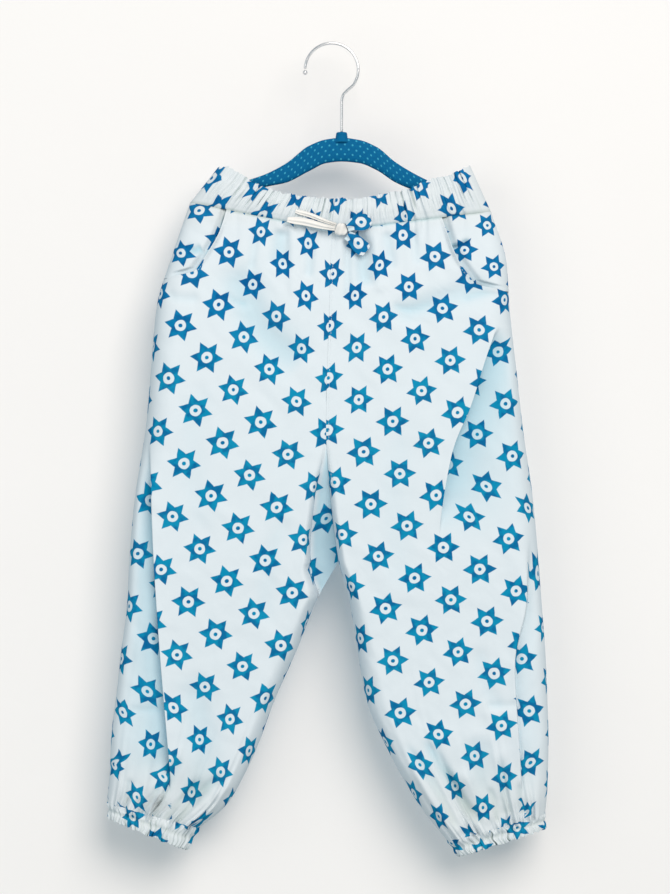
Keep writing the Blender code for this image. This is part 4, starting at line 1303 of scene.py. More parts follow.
@dataclass
class HipFacing:
    """The printed piece that shows behind a slanted pocket mouth."""

    leg: LegShape
    lap: float = 12.0
    below: float = 2.9
    step_from: float = 1.5
    step_to: float = 8.0
    look_ahead: float = 0.07
    # Width and darkness of the painted dark slit just inside each pocket mouth.
    slit: float = 2.4
    slit_shade: dict[Side, float] = field(default_factory=lambda: {Side.RIGHT: 2.0, Side.LEFT: 0.4})
    columns: int = 46
    rows: int = 90

    def dress(self) -> bpy.types.Object:
        """Builds the facing in place of its solid."""
        side = self.leg.side
        mouth = POCKETS[side]
        down = np.linspace(0, mouth.end + mouth.turn, self.rows + 1)
        first, inner = SECTIONS[side][1].out_x, SECTIONS[side][1].in_x
        width = abs(first - inner)
        cut = mouth.cut(self.leg, down)
        start = cut - self.lap / width
        even = np.linspace(0, 1, self.columns + 1)
        column, row = np.meshgrid(0.5 * even + 0.5 * (0.5 - 0.5 * np.cos(np.pi * even)), down)
        share = start[:, None] + (1 - start[:, None]) * column
        points, flat, painted_shade = self.leg.surface(Face.FRONT, share, row)
        ahead = np.maximum(cut, mouth.cut(self.leg, down + self.look_ahead))
        past = (share - ahead[:, None]) * width
        under = smooth((self.step_to - past) / (self.step_to - self.step_from))
        open_still = (cut < 0.985)[:, None]
        under = under * (1 - smooth((share - 0.9) / 0.08) * open_still)
        across = np.gradient(points, axis=1)
        normal = np.stack([across[..., 1], -across[..., 0]], axis=-1)
        normal /= np.maximum(np.linalg.norm(normal, axis=-1, keepdims=True), 1e-9)
        normal *= np.sign(-normal[..., 1:2].sum())
        points[..., :2] -= normal * (self.below * under)[..., None]
        points[..., 1] = np.minimum(points[..., 1], -0.6)
        extra = arc_surplus(points, flat[..., 0], self.columns // 3)
        lay = FACING_LAYS[side]
        place = lay.place(flat[..., 0] + extra, flat[..., 1])
        # Painted shade: a dark slit inside the upper part of the pocket mouth, and greyer cloth where the facing runs
        # under the front panel.
        beyond = (share - cut[:, None]) * width
        slit = smooth((self.slit - beyond) / self.slit) * smooth((0.85 * mouth.end - row) / 0.5)
        shade = np.clip(painted_shade + 0.3 * under + self.slit_shade[side] * slit, 0, 2)
        outward = np.zeros_like(points)
        outward[..., 1] = -1
        piece = Skin(points, place, shade).build(
            f"cloth_hip_facing_{side.word}", outward, PrintedCotton().material()
        )
        settle(piece, Slot.COTTON, f"hip_facing_{side.word}")
        return piece


FACING_LAYS: dict[Side, PrintLay] = {
    Side.RIGHT: PrintLay((-123.5, -150.5), (57.0, -15.0), (-16.0, -38.5)),
    Side.LEFT: PrintLay((138.3, -163.8), (48.3, 8.1), (5.7, -37.5)),
}


@dataclass
class Waistband:
    """Elastic casing at the waist, drawn into small upright gathers."""

    leg: LegShape
    top: tuple[tuple[float, float], ...] = (
        (-106, -111), (-98, -111), (-86, -117), (-70, -127), (-44, -135), (-14, -139), (16, -140),
        (46, -135), (66, -131), (85, -123), (104, -118), (122, -109),
    )
    top_depth: float = 10.5
    bulge: float = 1.5
    columns: int = 620
    rows: int = 24
    ruffle_height: float = 1.5
    spare: float = 0.40
    elastic_from: float = 0.12
    elastic_to: float = 0.78

    def dress(self, face: Face) -> bpy.types.Object:
        """Builds the front or back half.

        Args:
            face: Which half.

        Returns:
            The half's object.
        """
        right_end = SECTIONS[Side.RIGHT][0]
        left_end = SECTIONS[Side.LEFT][0]
        even = np.linspace(0, 1, self.columns + 1)
        across = 0.85 * even + 0.15 * (0.5 - 0.5 * np.cos(np.pi * even))
        seam_x = (right_end.out_x, right_end.in_x, left_end.out_x)
        seam_z = (right_end.out_z, right_end.in_z, left_end.out_z)
        low_x = seam_x[0] + (seam_x[2] - seam_x[0]) * across
        low_z = np.interp(low_x, seam_x, seam_z)
        table = np.array(self.top, float)
        top_x = table[0, 0] + (table[-1, 0] - table[0, 0]) * across
        top_z = soft_curve(table[:, 0], table[:, 1], top_x)
        up = np.linspace(0, 1, self.rows + 1)[:, None]
        turn = rise((low_x - seam_x[0]) / self.leg.side_round) * rise((seam_x[2] - low_x) / self.leg.side_round)
        ends = smooth(across / 0.05) * smooth((1 - across) / 0.05)
        part = (low_x - seam_x[0]) / (seam_x[2] - seam_x[0])
        low_puckers = ruffle(part, self.leg.puckers, 0.2)
        top_puckers = ruffle(part, 1.5 * self.leg.puckers, 0.55 if face is Face.FRONT else 0.9)
        mixed = smooth(up / 0.55)
        puckers = low_puckers * (1 - mixed) + top_puckers * mixed
        puckers = puckers + 0.3 * waves(90, part + 0.004 * np.sin(5 * up), 0.3) * np.sin(np.pi * up)
        swell = (self.ruffle_height - self.leg.pucker_height) * smooth(up / 0.4) * (1 - 0.35 * smooth((up - 0.4) / 0.2))
        flare = self.leg.pucker_height + swell + 0.7 * smooth((up - 0.75) / 0.25)
        pinch = smooth((up - self.elastic_from) / 0.1) * smooth((self.elastic_to - up) / 0.1)
        half = right_end.front * (1 - up) + self.top_depth * up
        depth = half * turn + self.bulge * np.sin(np.pi * up) * turn
        far_waves = self.leg.waist_wave(low_x, 0.0) - self.leg.pucker_height * low_puckers * ends
        depth = depth + far_waves * (1 - 0.5 * up) + ends * puckers * flare
        seam = np.exp(-((up / 0.05) ** 2))
        depth = depth + 0.5 * pinch * ends - 0.9 * seam * ends
        x = low_x * (1 - up) + top_x * up + 0.6 * waves(47, part, 0.45) * ends * smooth(up / 0.3)
        z = low_z * (1 - up) + top_z * up
        z = z + (0.8 * waves(23, part, 0.5) + 0.5 * waves(61, part, 0.1)) * up**3 * smooth(across / 0.01)
        y = face.value * (np.maximum(depth, 0) + self.leg.seam_half)
        points = np.stack([x, y, z], axis=-1)
        # Painted shade in the pucker valleys and along the seam under the band.
        painted_shade = np.clip(0.45 - 0.75 * (puckers + 0.3), 0, 1.5) * ends * smooth(up / 0.15)
        painted_shade = np.clip(painted_shade + 1.1 * seam, 0, 2)
        spare = self.spare * (seam_x[2] - seam_x[0])
        along = low_x + taken_up(0.5 * (low_puckers + top_puckers), spare)
        upward = up * (top_z - low_z) - 25.0
        lay = BAND_LAYS[face]
        place = lay.place(along[None, :] + 0 * up, upward)
        outward = np.zeros_like(points)
        outward[..., 1] = face.value
        piece = Skin(points, place, painted_shade, wall=0.8).build(
            f"cloth_waistband_{face.word}", outward, PrintedCotton().material()
        )
        settle(piece, Slot.COTTON, f"waistband_{face.word}")
        return piece


BAND_LAYS: dict[Face, PrintLay] = {
    Face.FRONT: PrintLay((-5.5, 2.0), (59.7, 1.5), (-1.5, -49.0)),
    Face.BACK: PrintLay((20.0, -2.0), (59.7, -1.0), (1.0, -49.0)),
}


@dataclass
class Cuff:
    """Ruched ankle cuff: an elastic in a narrow casing with a small frill."""

    leg: LegShape
    hem: tuple[tuple[float, float], tuple[float, float]]
    hem_depth: float = 15.0
    columns: int = 640
    rows: int = 28
    waves: int = 26
    wave_height: float = 0.8
    frill: int = 52
    frill_height: float = 1.7
    pinch: float = 1.6
    pinch_at: float = 0.45
    joined: float = 0.4
    spare: float = 0.6

    def leg_edge(self, share: Array, face: Array) -> Array:
        """The leg's last row, which the cuff is sewn to.

        Args:
            share: Places across, for each column of the cuff.
            face: Above 0 on the back and below 0 on the front.

        Returns:
            Points just under the leg's lower edge.
        """
        down = np.full(share.shape, float(LAST))
        front, _, _ = self.leg.surface(Face.FRONT, share, down)
        back, _, _ = self.leg.surface(Face.BACK, share, down)
        edge = np.where((face < 0)[:, None], front, back)
        return edge - (0, 0, 0.08)

    def dress(self) -> bpy.types.Object:
        """Builds the cuff in place of its solid."""
        side = self.leg.side
        last = SECTIONS[side][-1]
        angle = 2 * np.pi * np.arange(self.columns) / self.columns
        share = 0.5 - 0.5 * np.cos(angle)
        face = np.sign(np.sin(angle))
        part = angle / (2 * np.pi)
        down = np.linspace(0, 1, self.rows + 1)[:, None]
        in_x = last.in_x * (1 - down) + self.hem[0][0] * down
        in_z = last.in_z * (1 - down) + self.hem[0][1] * down
        out_x = last.out_x * (1 - down) + self.hem[1][0] * down
        out_z = last.out_z * (1 - down) + self.hem[1][1] * down
        half = last.front * (1 - down) + self.hem_depth * down
        width = np.hypot(out_x - in_x, out_z - in_z)
        turn = rise(share * width / last.turn) * rise((1 - share) * width / self.leg.side_round)
        x = in_x + (out_x - in_x) * share
        z = in_z + (out_z - in_z) * share
        y = face * half * turn
        away = np.stack([x - (in_x + out_x) / 2, y * 2.5], axis=-1)
        away /= np.maximum(np.linalg.norm(away, axis=-1, keepdims=True), 1e-9)
        bent = part + 0.0035 * np.sin(9 * down + 40 * part)
        frill = ruffle(bent, self.frill, 0.2 + 0.3 * side.value)
        swell = 0.8 + 0.6 * smooth((down - 0.5) / 0.5)
        puff = self.wave_height * waves(self.waves, part, 0.0) + self.frill_height * frill * swell
        puff = puff - self.pinch * np.exp(-(((down - self.pinch_at) / 0.16) ** 2))
        x = x + away[..., 0] * puff + side.value * 0.1
        y = y + away[..., 1] * puff
        z = z + (0.8 * waves(self.frill * 0.5, part, 0.8) + 0.5 * frill) * down**3
        points = np.stack([x, y, z], axis=-1)
        joined = smooth((self.joined - down) / self.joined)[..., None]
        points = points * (1 - joined) + (self.leg_edge(share, face) + points - points[:1]) * joined
        # Painted shade in the frill's valleys, darker at the hem's lower rim, with a faint grey line along the
        # elastic's pinch.
        valley_shade = np.clip(0.6 - 0.6 * (frill + 0.3), 0, 1.2)
        rim = smooth((down - 0.88) / 0.12) * valley_shade
        painted_shade = 1.15 * valley_shade * smooth(down / 0.3) + 1.4 * rim
        painted_shade = np.clip(painted_shade + 0.3 * np.exp(-(((down - self.pinch_at) / 0.1) ** 2)), 0, 2)
        along = (share - 0.5) * width * np.where(face < 0, 1, -1)
        along = along - taken_up(frill[0], self.spare * 2 * float(width.mean()))
        lay = PrintLay((4.0, -6.0), (57.0, 14.0 * side.value), (12.0 * side.value, -47.0))
        place = lay.place(along, -down * 19.0)
        outward = points - points.mean(axis=1, keepdims=True)
        piece = Skin(points, place, painted_shade, ring=True, wall=0.6).build(
            f"cloth_cuff_{side.word}", outward, PrintedCotton().material()
        )
        settle(piece, Slot.COTTON, f"cuff_{side.word}")
        f"leg_front_{side.word}"
        f"leg_back_{side.word}"
        return piece


@dataclass(frozen=True)
class Ribbon:
    """A stretch of the tie: where it starts, which way it runs, and how it folds."""

    name: str
    start: tuple[float, float, float]
    angle: float
    length: float
    width: float
    gap: float
    sag: float
    folded: bool
    printed: bool
    lay: PrintLay


@dataclass
class TieBow:
    """Small bow of the cloth tied at the centre front."""

    knot_centre: tuple[float, float, float] = (5.5, -18.2, -168.2)
    knot_radii: tuple[float, float, float] = (5.6, 3.6, 5.2)
    ribbons: tuple[Ribbon, ...] = (
        Ribbon("loop_right", (0.0, -18.6, -167.3), 167, 43, 6.6, 2.4, 1.5, True, False,
               PrintLay((0, 0), (59, 0), (0, -48))),
        Ribbon("loop_left", (10.8, -18.6, -165.9), 20, 21, 14.5, 4.0, 1.0, True, True,
               PrintLay((13.5, 0.5), (59, 0), (0, -48))),
        Ribbon("end_right", (1.2, -15.8, -163.6), 160, 39, 4.4, 0, 1.0, False, False,
               PrintLay((0, 0), (59, 0), (0, -48))),
        Ribbon("end_left", (11.0, -18.6, -173.2), -38, 22, 14, 0, 1.0, False, True,
               PrintLay((12.0, 1.0), (59, 0), (0, -48))),
    )
    steps: int = 46
    across: int = 18

    def finish_of(self, printed: bool) -> bpy.types.Material:
        """The tie's printed face, or its plain back."""
        if printed:
            return PrintedCotton().material()
        # Plain cream cloth, with a grey painted-shade colour.
        return PrintedCotton(
            name="plain_cotton", white=(0.84, 0.83, 0.80), painted_shade=(0.72, 0.74, 0.74), printed=False
        ).material()

    def ribbon(self, ribbon: Ribbon) -> bpy.types.Object:
        """Builds one strip of the tie.

        Args:
            ribbon: The strip's sizes.

        Returns:
            The strip's object.
        """
        straight = np.linspace(0, ribbon.length, self.steps)
        path = np.stack([straight, 0 * straight], axis=1)
        if ribbon.folded:
            bend = ribbon.gap / 2
            turns = np.radians(np.linspace(-90, 90, 16)[1:-1])
            round_end = np.stack([ribbon.length + bend * np.cos(turns), bend * np.sin(turns)], axis=1)
            path = np.concatenate(
                [path + (0, -bend), round_end, path[::-1] + (0, bend)]
            )
        edge = np.linspace(-0.5, 0.5, self.across)[None, :]
        reach = (path[:, 0] / ribbon.length)[:, None]
        pleat = 0.8 * (1 - (2 * edge) ** 2) + 0.55 * np.cos(2 * np.pi * edge * 2) * (1 - 0.6 * reach)
        spread = edge * ribbon.width * (0.62 + 0.38 * smooth(reach * 1.6)) + 0.4 * np.sin(7 * reach)
        spread = spread * (1 - 0.5 * smooth((reach - 0.72) / 0.4) ** 2)
        lift = -pleat - 0.5 * np.sin(5.0 * reach + 2 * edge)
        angle = math.radians(ribbon.angle)
        along = path[:, :1]
        x = ribbon.start[0] + along * math.cos(angle) - spread * math.sin(angle)
        z = ribbon.start[2] + along * math.sin(angle) + spread * math.cos(angle) - ribbon.sag * reach**2
        y = ribbon.start[1] + path[:, 1:] + lift
        points = np.stack([x, y + 0 * x, z], axis=-1)
        run = np.concatenate([[0], np.cumsum(np.hypot(*np.diff(path, axis=0).T))])[:, None]
        place = ribbon.lay.place(run + 0 * edge, edge * ribbon.width + 0 * run)
        # Painted shade, greyer near the knot.
        painted_shade = np.clip(0.5 - 1.2 * reach, 0, 0.5) + 0 * edge
        outward = np.zeros_like(points)
        outward[..., 1] = -1
        if ribbon.folded:
            outward[len(path) // 2 :, :, 1] = 1
            outward[: len(path) // 2, :, 1] = -1
        piece = Skin(points, place, painted_shade, wall=0.6).build(
            f"cloth_bow_{ribbon.name}", outward, self.finish_of(ribbon.printed)
        )
        settle(piece, Slot.COTTON, f"bow_{ribbon.name}")
        return piece

    def knot(self) -> bpy.types.Object:
        """Builds the knot: a band of cloth wrapped round, with its own pleats."""
        rows, columns = 40, 72
        up = np.linspace(0.02, 0.98, rows)[:, None] * np.pi
        turn = 2 * np.pi * np.arange(columns)[None, :] / columns
        ring = np.sin(up) ** 0.75
        pleat = 1 + 0.075 * np.cos(3 * up + 1.2 * np.sin(turn)) + 0.05 * np.sin(5 * turn + 2 * up)
        x = self.knot_centre[0] + self.knot_radii[0] * ring * np.cos(turn) * pleat
        y = self.knot_centre[1] + self.knot_radii[1] * ring * np.sin(turn) * pleat
        z = self.knot_centre[2] + self.knot_radii[2] * np.cos(up) * pleat
        points = np.stack([x, y, z], axis=-1)
        place = np.stack([turn + 0 * up, up + 0 * turn], axis=-1) * 0.006
        # Painted shade in the valleys between the pleats.
        painted_shade = np.clip(0.3 - 2.5 * (pleat - 1), 0, 0.6)
        outward = points - np.array(self.knot_centre)
        piece = Skin(points, place, painted_shade, ring=True, wall=0.5).build(
            "cloth_bow_knot", outward, self.finish_of(False)
        )
        settle(piece, Slot.COTTON, "bow_knot")
        return piece

    def dress(self) -> None:
        """Builds the knot and the tie's four strips."""
        self.knot()
        for ribbon in self.ribbons:
            self.ribbon(ribbon)


class Station(NamedTuple):
    """One station of the hanger's arms."""

    x: float
    top: float
    bottom: float
    thick: float


@dataclass
class Hanger:
    """Small shaped hanger with a wire hook."""

    arms: tuple[Station, ...] = (
        Station(-121.5, -135.8, -143.9, 5.6),
        Station(-100, -129.5, -139.0, 7.4),
        Station(-79, -122.5, -133.5, 8.0),
        Station(-63, -117.0, -128.5, 8.0),
        Station(-44, -107.0, -124.5, 8.4),
        Station(-24, -91.5, -114.5, 9.0),
        Station(-8, -85.5, -107.0, 9.0),
        Station(6, -84.0, -105.5, 9.0),
        Station(22, -86.0, -107.0, 9.0),
        Station(38, -92.5, -113.5, 9.0),
        Station(54, -105.5, -124.0, 8.4),
        Station(70, -115.5, -131.0, 8.0),
        Station(87, -124.0, -136.5, 8.0),
        Station(110, -133.0, -143.0, 7.4),
        Station(131.5, -140.8, -148.9, 5.6),
    )
    end_round: float = 4.1
    steps: int = 260
    around: int = 48
    stem_x: float = 6.0
    neck_top: float = -79.0
    neck_bottom: float = -88.0
    neck_radius: float = 5.0
    wire: float = 2.8
    crown: tuple[float, float] = (-3.0, -22.4)
    crown_radius: float = 24.0
    crown_end: float = -34.0
    shank: tuple[tuple[float, float], ...] = ((10.8, -41.4), (7.2, -45.8), (6.0, -52.0), (6.0, -62.0), (6.0, -81.0))
    ball_radius: float = 2.3

    def build_arms(self) -> bpy.types.Object:
        """Arms swept from tip to tip, with the neck's collar joined on."""
        table = np.array(self.arms, float)
        places = np.arange(len(table))
        fine = np.linspace(0, len(table) - 1, self.steps)
        x, top, bottom, thick = (soft_curve(places, column, fine) for column in table.T)
        tips = np.radians(np.linspace(8, 84, 9))
        before = [(x[0] - self.end_round * math.sin(t), math.cos(t), 0) for t in tips[::-1]]
        after = [(x[-1] + self.end_round * math.sin(t), math.cos(t), -1) for t in tips]
        rings = [(a, (top[i] + bottom[i]) / 2, (top[i] - bottom[i]) / 2 * s, thick[i] / 2 * s) for a, s, i in before]
        rings += list(zip(x, (top + bottom) / 2, (top - bottom) / 2, thick / 2))
        rings += [(a, (top[i] + bottom[i]) / 2, (top[i] - bottom[i]) / 2 * s, thick[i] / 2 * s) for a, s, i in after]
        ring = np.array(rings)
        angle = 2 * np.pi * np.arange(self.around) / self.around
        deep = np.sign(np.cos(angle)) * np.abs(np.cos(angle)) ** 0.6
        high = np.sign(np.sin(angle)) * np.abs(np.sin(angle)) ** 0.75
        points = np.stack(
            [
                ring[:, :1] + 0 * angle,
                ring[:, 3:] * deep,
                ring[:, 1:2] + ring[:, 2:3] * high,
            ],
            axis=-1,
        )
        run = np.concatenate([[0], np.cumsum(np.hypot(*np.diff(ring[:, :2], axis=0).T))])[:, None]
        place = np.stack([run + 0 * angle, ring[:, 2:3] * high], axis=-1) * MM
        rows, columns = points.shape[:2]
        index = np.arange(rows * columns).reshape(rows, columns)
        index = np.concatenate([index, index[:, :1]], axis=1)
        quads = np.stack([index[:-1, :-1], index[1:, :-1], index[1:, 1:], index[:-1, 1:]], axis=-1).reshape(-1, 4)
        caps = []
        for end in (0, rows - 1):
            for i in range(1, columns // 2):
                around = index[end]
                quad = [around[i - 1], around[i], around[columns - i - 1], around[(columns - i) % columns]]
                caps.append(quad if end == 0 else quad[::-1])
        faces = np.concatenate([quads, np.array(caps)])
        faces = faces[[len(set(face)) == 4 for face in faces.tolist()]]
        piece = add_piece(
            "hanger_arms_flocked", points.reshape(-1, 3) * MM, faces, place.reshape(-1, 2),
            np.zeros(rows * columns), FlockedPlastic().material(),
        )
        return settle(piece, Slot.FLOCK, "hanger_arms")

    def lathe(self, name: str, profile: Sequence[tuple[float, float]], centre: tuple[float, float],
              material: bpy.types.Material) -> bpy.types.Object:
        """Turned piece about an upright axis.

        Args:
            name: The piece's name.
            profile: Radius and height pairs from the top down.
            centre: The axis's x and y.
            material: The piece's material.

        Returns:
            The piece's object.
        """
        outline = np.array(profile, float)
        angle = 2 * np.pi * np.arange(40) / 40
        points = np.stack(
            [
                centre[0] + outline[:, :1] * np.cos(angle),
                centre[1] + outline[:, :1] * np.sin(angle),
                outline[:, 1:] + 0 * angle,
            ],
            axis=-1,
        )
        rows, columns = points.shape[:2]
        index = np.arange(rows * columns).reshape(rows, columns)
        index = np.concatenate([index, index[:, :1]], axis=1)
        faces = np.stack([index[:-1, :-1], index[1:, :-1], index[1:, 1:], index[:-1, 1:]], axis=-1).reshape(-1, 4)
        place = np.stack([centre[0] + 0 * angle + 0 * outline[:, :1], outline[:, 1:] + 0 * angle], axis=-1) * MM
        return add_piece(
            name, points.reshape(-1, 3) * MM, faces, place.reshape(-1, 2), np.zeros(rows * columns), material
        )

    def build_collar(self) -> bpy.types.Object:
        """Rounded collar where the hook enters the arms."""
        turn = np.linspace(0, np.pi / 2, 8)
        corner = 1.6
        profile = [(0.02, self.neck_top)]
        profile += [
            (self.neck_radius - corner + corner * math.sin(t), self.neck_top - corner + corner * math.cos(t))
            for t in turn
        ]
        profile += [(self.neck_radius + 0.8, self.neck_bottom + 1.5), (self.neck_radius + 2.2, self.neck_bottom)]
        profile += [(0.02, self.neck_bottom)]
        piece = self.lathe("hanger_collar", profile, (self.stem_x, 0.0), FlockedPlastic().material())
        return settle(piece, Slot.FLOCK)

    def build_hook(self) -> bpy.types.Object:
        """Wire from the free tip over the crown and down an S-shaped shank."""
        turns = np.radians(np.linspace(180, self.crown_end, 72))
        crown = np.stack(
            [
                self.crown[0] + self.crown_radius * np.cos(turns),
                self.crown[1] + self.crown_radius * np.sin(turns),
            ],
            axis=1,
        )
        tail = np.concatenate([crown[-6::5], np.array(self.shank, float)])
        smooth_tail = np.stack(
            [soft_curve(range(len(tail)), axis, np.linspace(0, len(tail) - 1, 60)) for axis in tail.T], axis=1
        )
        line = np.concatenate([crown[:-6], smooth_tail])
        heading = np.gradient(line, axis=0)
        heading /= np.linalg.norm(heading, axis=1, keepdims=True)
        side = np.stack([-heading[:, 1], heading[:, 0]], axis=1)
        angle = 2 * np.pi * np.arange(20) / 20
        radius = self.wire / 2
        points = np.stack(
            [
                line[:, :1] + radius * side[:, :1] * np.cos(angle),
                radius * np.sin(angle) + 0 * line[:, :1],
                line[:, 1:] + radius * side[:, 1:] * np.cos(angle),
            ],
            axis=-1,
        )
        for end, inside in ((0, 1), (-1, -2)):
            points[end] = points[end].mean(axis=0) + (points[end] - points[end].mean(axis=0)) * 0.02
        rows, columns = points.shape[:2]
        index = np.arange(rows * columns).reshape(rows, columns)
        index = np.concatenate([index, index[:, :1]], axis=1)
        faces = np.stack([index[:-1, :-1], index[1:, :-1], index[1:, 1:], index[:-1, 1:]], axis=-1).reshape(-1, 4)
        piece = add_piece(
            "hook_wire_bent", points.reshape(-1, 3) * MM, faces, np.zeros((rows * columns, 2)),
            np.zeros(rows * columns), PlatedWire().material(),
        )
        return settle(piece, Slot.WIRE, "hanger_hook")

    def build_ball(self) -> bpy.types.Object:
        """Ball on the hook's free tip."""
        centre_z = self.crown[1] - self.ball_radius - 0.2
        turn = np.linspace(0.02, np.pi - 0.02, 26)
        profile = [(self.ball_radius * math.sin(t), centre_z + self.ball_radius * math.cos(t)) for t in turn]
        piece = self.lathe("hook_ball", profile, (self.crown[0] - self.crown_radius, 0.0), PlatedWire().material())
        return settle(piece, Slot.WIRE, "hook_tip")

    def dress(self) -> None:
        """Builds the arms, collar, hook and ball."""
        self.build_arms()
        self.build_collar()
        self.build_hook()
        self.build_ball()


@dataclass
class Stitching:
    """Runs of machine stitches, laid by Geometry Nodes along lines on the cloth."""

    pitch: float = 3.0
    length: float = 2.1
    thickness: float = 0.32
    lift: float = 0.22

    def tree(self) -> bpy.types.NodeTree:
        """The node tree that lays one stitch at each step of a curve.

        Returns:
            A Geometry Nodes tree with named inputs for the stitch's sizes.
        """
        found = bpy.data.node_groups.get("stitch_run")
        if found:
            return found
        tree = bpy.data.node_groups.new("stitch_run", "GeometryNodeTree")
        tree.interface.new_socket("Line", in_out="INPUT", socket_type="NodeSocketGeometry")
        for label in ("Pitch", "Length", "Thickness"):
            tree.interface.new_socket(label, in_out="INPUT", socket_type="NodeSocketFloat")
        tree.interface.new_socket("Thread", in_out="INPUT", socket_type="NodeSocketMaterial")
        tree.interface.new_socket("Stitches", in_out="OUTPUT", socket_type="NodeSocketGeometry")
        sketch = NodeSketch(tree)
        ins = sketch.node("NodeGroupInput")
        outs = sketch.node("NodeGroupOutput")
        points = sketch.node("GeometryNodeCurveToPoints", mode="LENGTH")
        sketch.feed(points.inputs["Curve"], ins.outputs["Line"])
        sketch.feed(points.inputs["Length"], ins.outputs["Pitch"])
        bead = sketch.node("GeometryNodeMeshUVSphere")
        bead.inputs["Segments"].default_value = 6
        bead.inputs["Rings"].default_value = 5
        bead.inputs["Radius"].default_value = 0.5
        size = sketch.node("ShaderNodeCombineXYZ")
        sketch.feed(size.inputs[0], ins.outputs["Thickness"])
        sketch.feed(size.inputs[1], ins.outputs["Thickness"])
        sketch.feed(size.inputs[2], ins.outputs["Length"])
        place = sketch.node("GeometryNodeInstanceOnPoints")
        sketch.feed(place.inputs["Points"], points.outputs["Points"])
        sketch.feed(place.inputs["Instance"], bead.outputs["Mesh"])
        sketch.feed(place.inputs["Rotation"], points.outputs["Rotation"])
        sketch.feed(place.inputs["Scale"], size.outputs[0])
        real = sketch.node("GeometryNodeRealizeInstances")
        sketch.feed(real.inputs[0], place.outputs[0])
        finish = sketch.node("GeometryNodeSetMaterial")
        sketch.feed(finish.inputs["Geometry"], real.outputs[0])
        sketch.feed(finish.inputs["Material"], ins.outputs["Thread"])
        sketch.feed(outs.inputs["Stitches"], finish.outputs[0])
        return tree

    def sew(self, name: str, lines: Sequence[Array]) -> bpy.types.Object:
        """Lays stitches along lines on the cloth.

        Args:
            name: The piece's name.
            lines: Points of each line, in millimetres.

        Returns:
            One mesh with all the stitches.
        """
        data = bpy.data.curves.new(name, "CURVE")
        data.dimensions = "3D"
        for line in lines:
            spline = data.splines.new("POLY")
            spline.points.add(len(line) - 1)
            flat = np.concatenate([line * MM, np.ones((len(line), 1))], axis=1)
            spline.points.foreach_set("co", flat.astype(np.float32).ravel())
        run = bpy.data.objects.new(name + "_line", data)
        bpy.context.scene.collection.objects.link(run)
        modifier = run.modifiers.new("stitches", "NODES")
        tree = self.tree()
        modifier.node_group = tree
        thread = PrintedCotton(
            name="sewing_thread", white=(0.80, 0.84, 0.86), painted_shade=(0.7, 0.76, 0.8), printed=False, roughness=0.6
        ).material()
        values = {
            "Pitch": self.pitch * MM, "Length": self.length * MM, "Thickness": self.thickness * MM, "Thread": thread
        }
        for item in tree.interface.items_tree:
            if item.item_type == "SOCKET" and item.in_out == "INPUT" and item.name in values:
                modifier[item.identifier] = values[item.name]
        graph = bpy.context.evaluated_depsgraph_get()
        mesh = bpy.data.meshes.new_from_object(run.evaluated_get(graph))
        mesh.name = name
        bpy.data.objects.remove(run)
        piece = bpy.data.objects.new(name, mesh)
        bpy.context.scene.collection.objects.link(piece)
        mesh.shade_smooth()
        return settle(piece, Slot.COTTON)


def seam_lines(panel: LegPanel, inset: float, lift: float) -> dict[str, Array]:
    """Lines for stitching on a front panel: along its pocket mouth and beside the centre seam.

    Args:
        panel: The front panel.
        inset: Distance in from the cloth's edge.
        lift: Distance out of the cloth.

    Returns:
        Points of the pocket and centre lines.
    """
    skin, share, row = panel.grids()
    out = np.array([0.0, -lift, 0.0])
    width = np.abs(skin.outer[:, -1, 0] - skin.outer[:, 0, 0])
    pocket = []
    centre = []
    mouth = POCKETS[panel.leg.side]
    for i in range(len(skin.outer)):
        edge = np.abs(skin.outer[i, :, 0] - skin.outer[i, -1, 0])
        if row[i, 0] <= mouth.end + 0.05:
            pocket.append(skin.outer[i, int(np.argmin(np.abs(edge - inset)))] + out)
        start = np.abs(skin.outer[i, :, 0] - skin.outer[i, 0, 0])
        if row[i, 0] < CROTCH - 1.2 and width[i] > 0:
            centre.append(skin.outer[i, int(np.argmin(np.abs(start - inset)))] + out)
    return {"pocket": np.array(pocket), "centre": np.array(centre)}


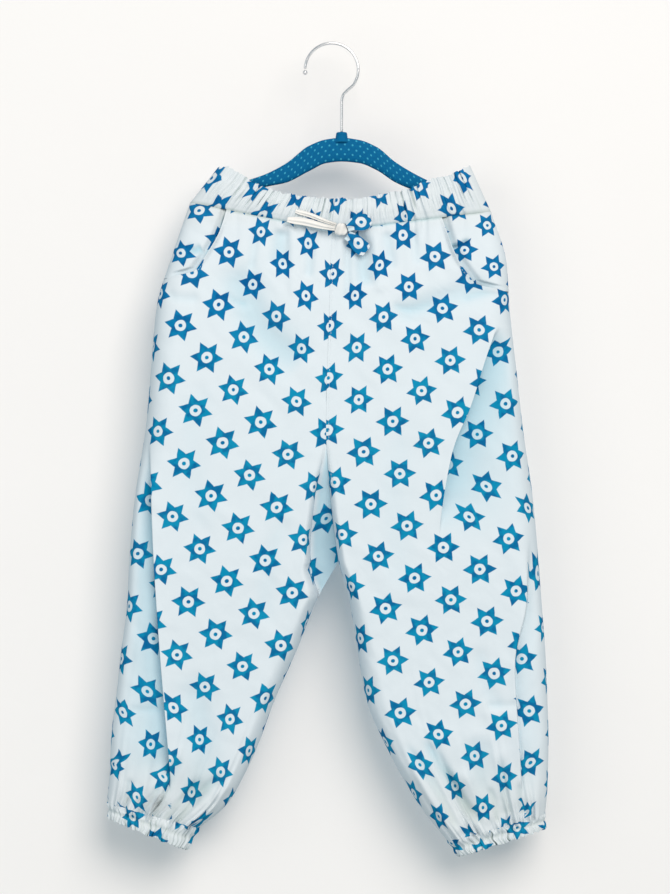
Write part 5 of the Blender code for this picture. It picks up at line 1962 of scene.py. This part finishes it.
@dataclass
class Studio:
    """Camera at the photograph's view, soft light, and a pale wall and floor."""

    camera_distance: float = 3.0
    camera_height: float = -0.3636
    lens: float = 133.6
    wall_y: float = 0.046
    floor_z: float = -1.02
    reach: float = 3.2

    def camera(self) -> None:
        """Places the camera straight in front."""
        data = bpy.data.cameras.new("camera")
        data.lens = self.lens
        data.sensor_width = 36.0
        camera = bpy.data.objects.new("camera", data)
        camera.location = (0.0, -self.camera_distance, self.camera_height)
        camera.rotation_euler = (math.pi / 2, 0.0, 0.0)
        bpy.context.scene.collection.objects.link(camera)
        bpy.context.scene.camera = camera

    def lamp(self, name: str, place: tuple[float, float, float], target: tuple[float, float, float],
             size: float, power: float, colour: Colour) -> None:
        """Adds a square area lamp that points at a target."""
        data = bpy.data.lights.new(name, "AREA")
        data.size = size
        data.energy = power
        data.color = colour
        lamp = bpy.data.objects.new(name, data)
        lamp.location = place
        aim = np.array(target) - np.array(place)
        flat = math.hypot(aim[0], aim[1])
        lamp.rotation_euler = (math.pi / 2 + math.atan2(aim[2], flat), 0.0, math.atan2(-aim[0], aim[1]))
        bpy.context.scene.collection.objects.link(lamp)

    def backdrop(self) -> None:
        """Wall and floor in one sheet with a round corner between them."""
        bend = 0.25
        turns = np.linspace(0, np.pi / 2, 13)
        line = [(self.wall_y, 1.6)]
        line += [
            (self.wall_y - bend + bend * math.cos(t), self.floor_z + bend - bend * math.sin(t)) for t in turns
        ]
        line += [(-self.reach, self.floor_z)]
        points = [(x, y, z) for y, z in line for x in (-self.reach, self.reach)]
        faces = [(2 * i + 2, 2 * i + 3, 2 * i + 1, 2 * i) for i in range(len(line) - 1)]
        mesh = bpy.data.meshes.new("backdrop")
        mesh.from_pydata(points, [], faces)
        mesh.shade_smooth()
        mesh.materials.append(PlasterWall().material())
        sheet = bpy.data.objects.new("backdrop", mesh)
        bpy.context.scene.collection.objects.link(sheet)

    def build(self) -> None:
        """Sets the camera, the light and the backdrop."""
        bpy.context.scene.view_settings.view_transform = "Standard"
        self.camera()
        self.backdrop()
        self.lamp("key", (1.4, -4.0, 2.1), (0.0, 0.0, -0.45), 3.2, 184.0, (1.0, 0.885, 0.81))
        self.lamp("fill", (-1.9, -2.6, -0.3), (0.0, 0.0, -0.5), 2.6, 20.0, (1.0, 0.95, 0.92))
        self.lamp("back", (0.6, 3.4, 0.9), (0.0, 0.0, -0.4), 3.0, 60.0, (1.0, 0.95, 0.92))
        world = bpy.context.scene.world or bpy.data.worlds.new("world")
        bpy.context.scene.world = world
        world.use_nodes = True
        background = world.node_tree.nodes["Background"]
        background.inputs["Color"].default_value = (0.83, 0.94, 0.985, 1.0)
        background.inputs["Strength"].default_value = 0.52


def main() -> None:
    """Builds the dressed trousers piece by piece."""
    logging.basicConfig(level=logging.INFO, format="%(message)s")
    for old in list(bpy.data.objects):
        bpy.data.objects.remove(old)
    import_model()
    legs = {side: LegShape(side) for side in Side}
    fronts = {side: LegPanel(legs[side], Face.FRONT) for side in Side}
    for side in Side:
        fronts[side].dress()
        LegPanel(legs[side], Face.BACK, columns=150, rows=190).dress()
        HipFacing(legs[side]).dress()
    band = Waistband(legs[Side.RIGHT])
    for face in Face:
        band.dress(face)
    Cuff(legs[Side.RIGHT], ((-134, -727), (-203, -699))).dress()
    Cuff(legs[Side.LEFT], ((112, -733), (189, -708))).dress()
    TieBow().dress()
    Hanger().dress()
    stitching = Stitching()
    lines = {side: seam_lines(fronts[side], 2.2, stitching.lift) for side in Side}
    stitching.sew("stitches_pockets", [lines[side]["pocket"] for side in Side])
    stitching.sew("stitches_centre_seam", [lines[Side.LEFT]["centre"]])
    Studio().build()
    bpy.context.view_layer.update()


if __name__ == "__main__":
    main()
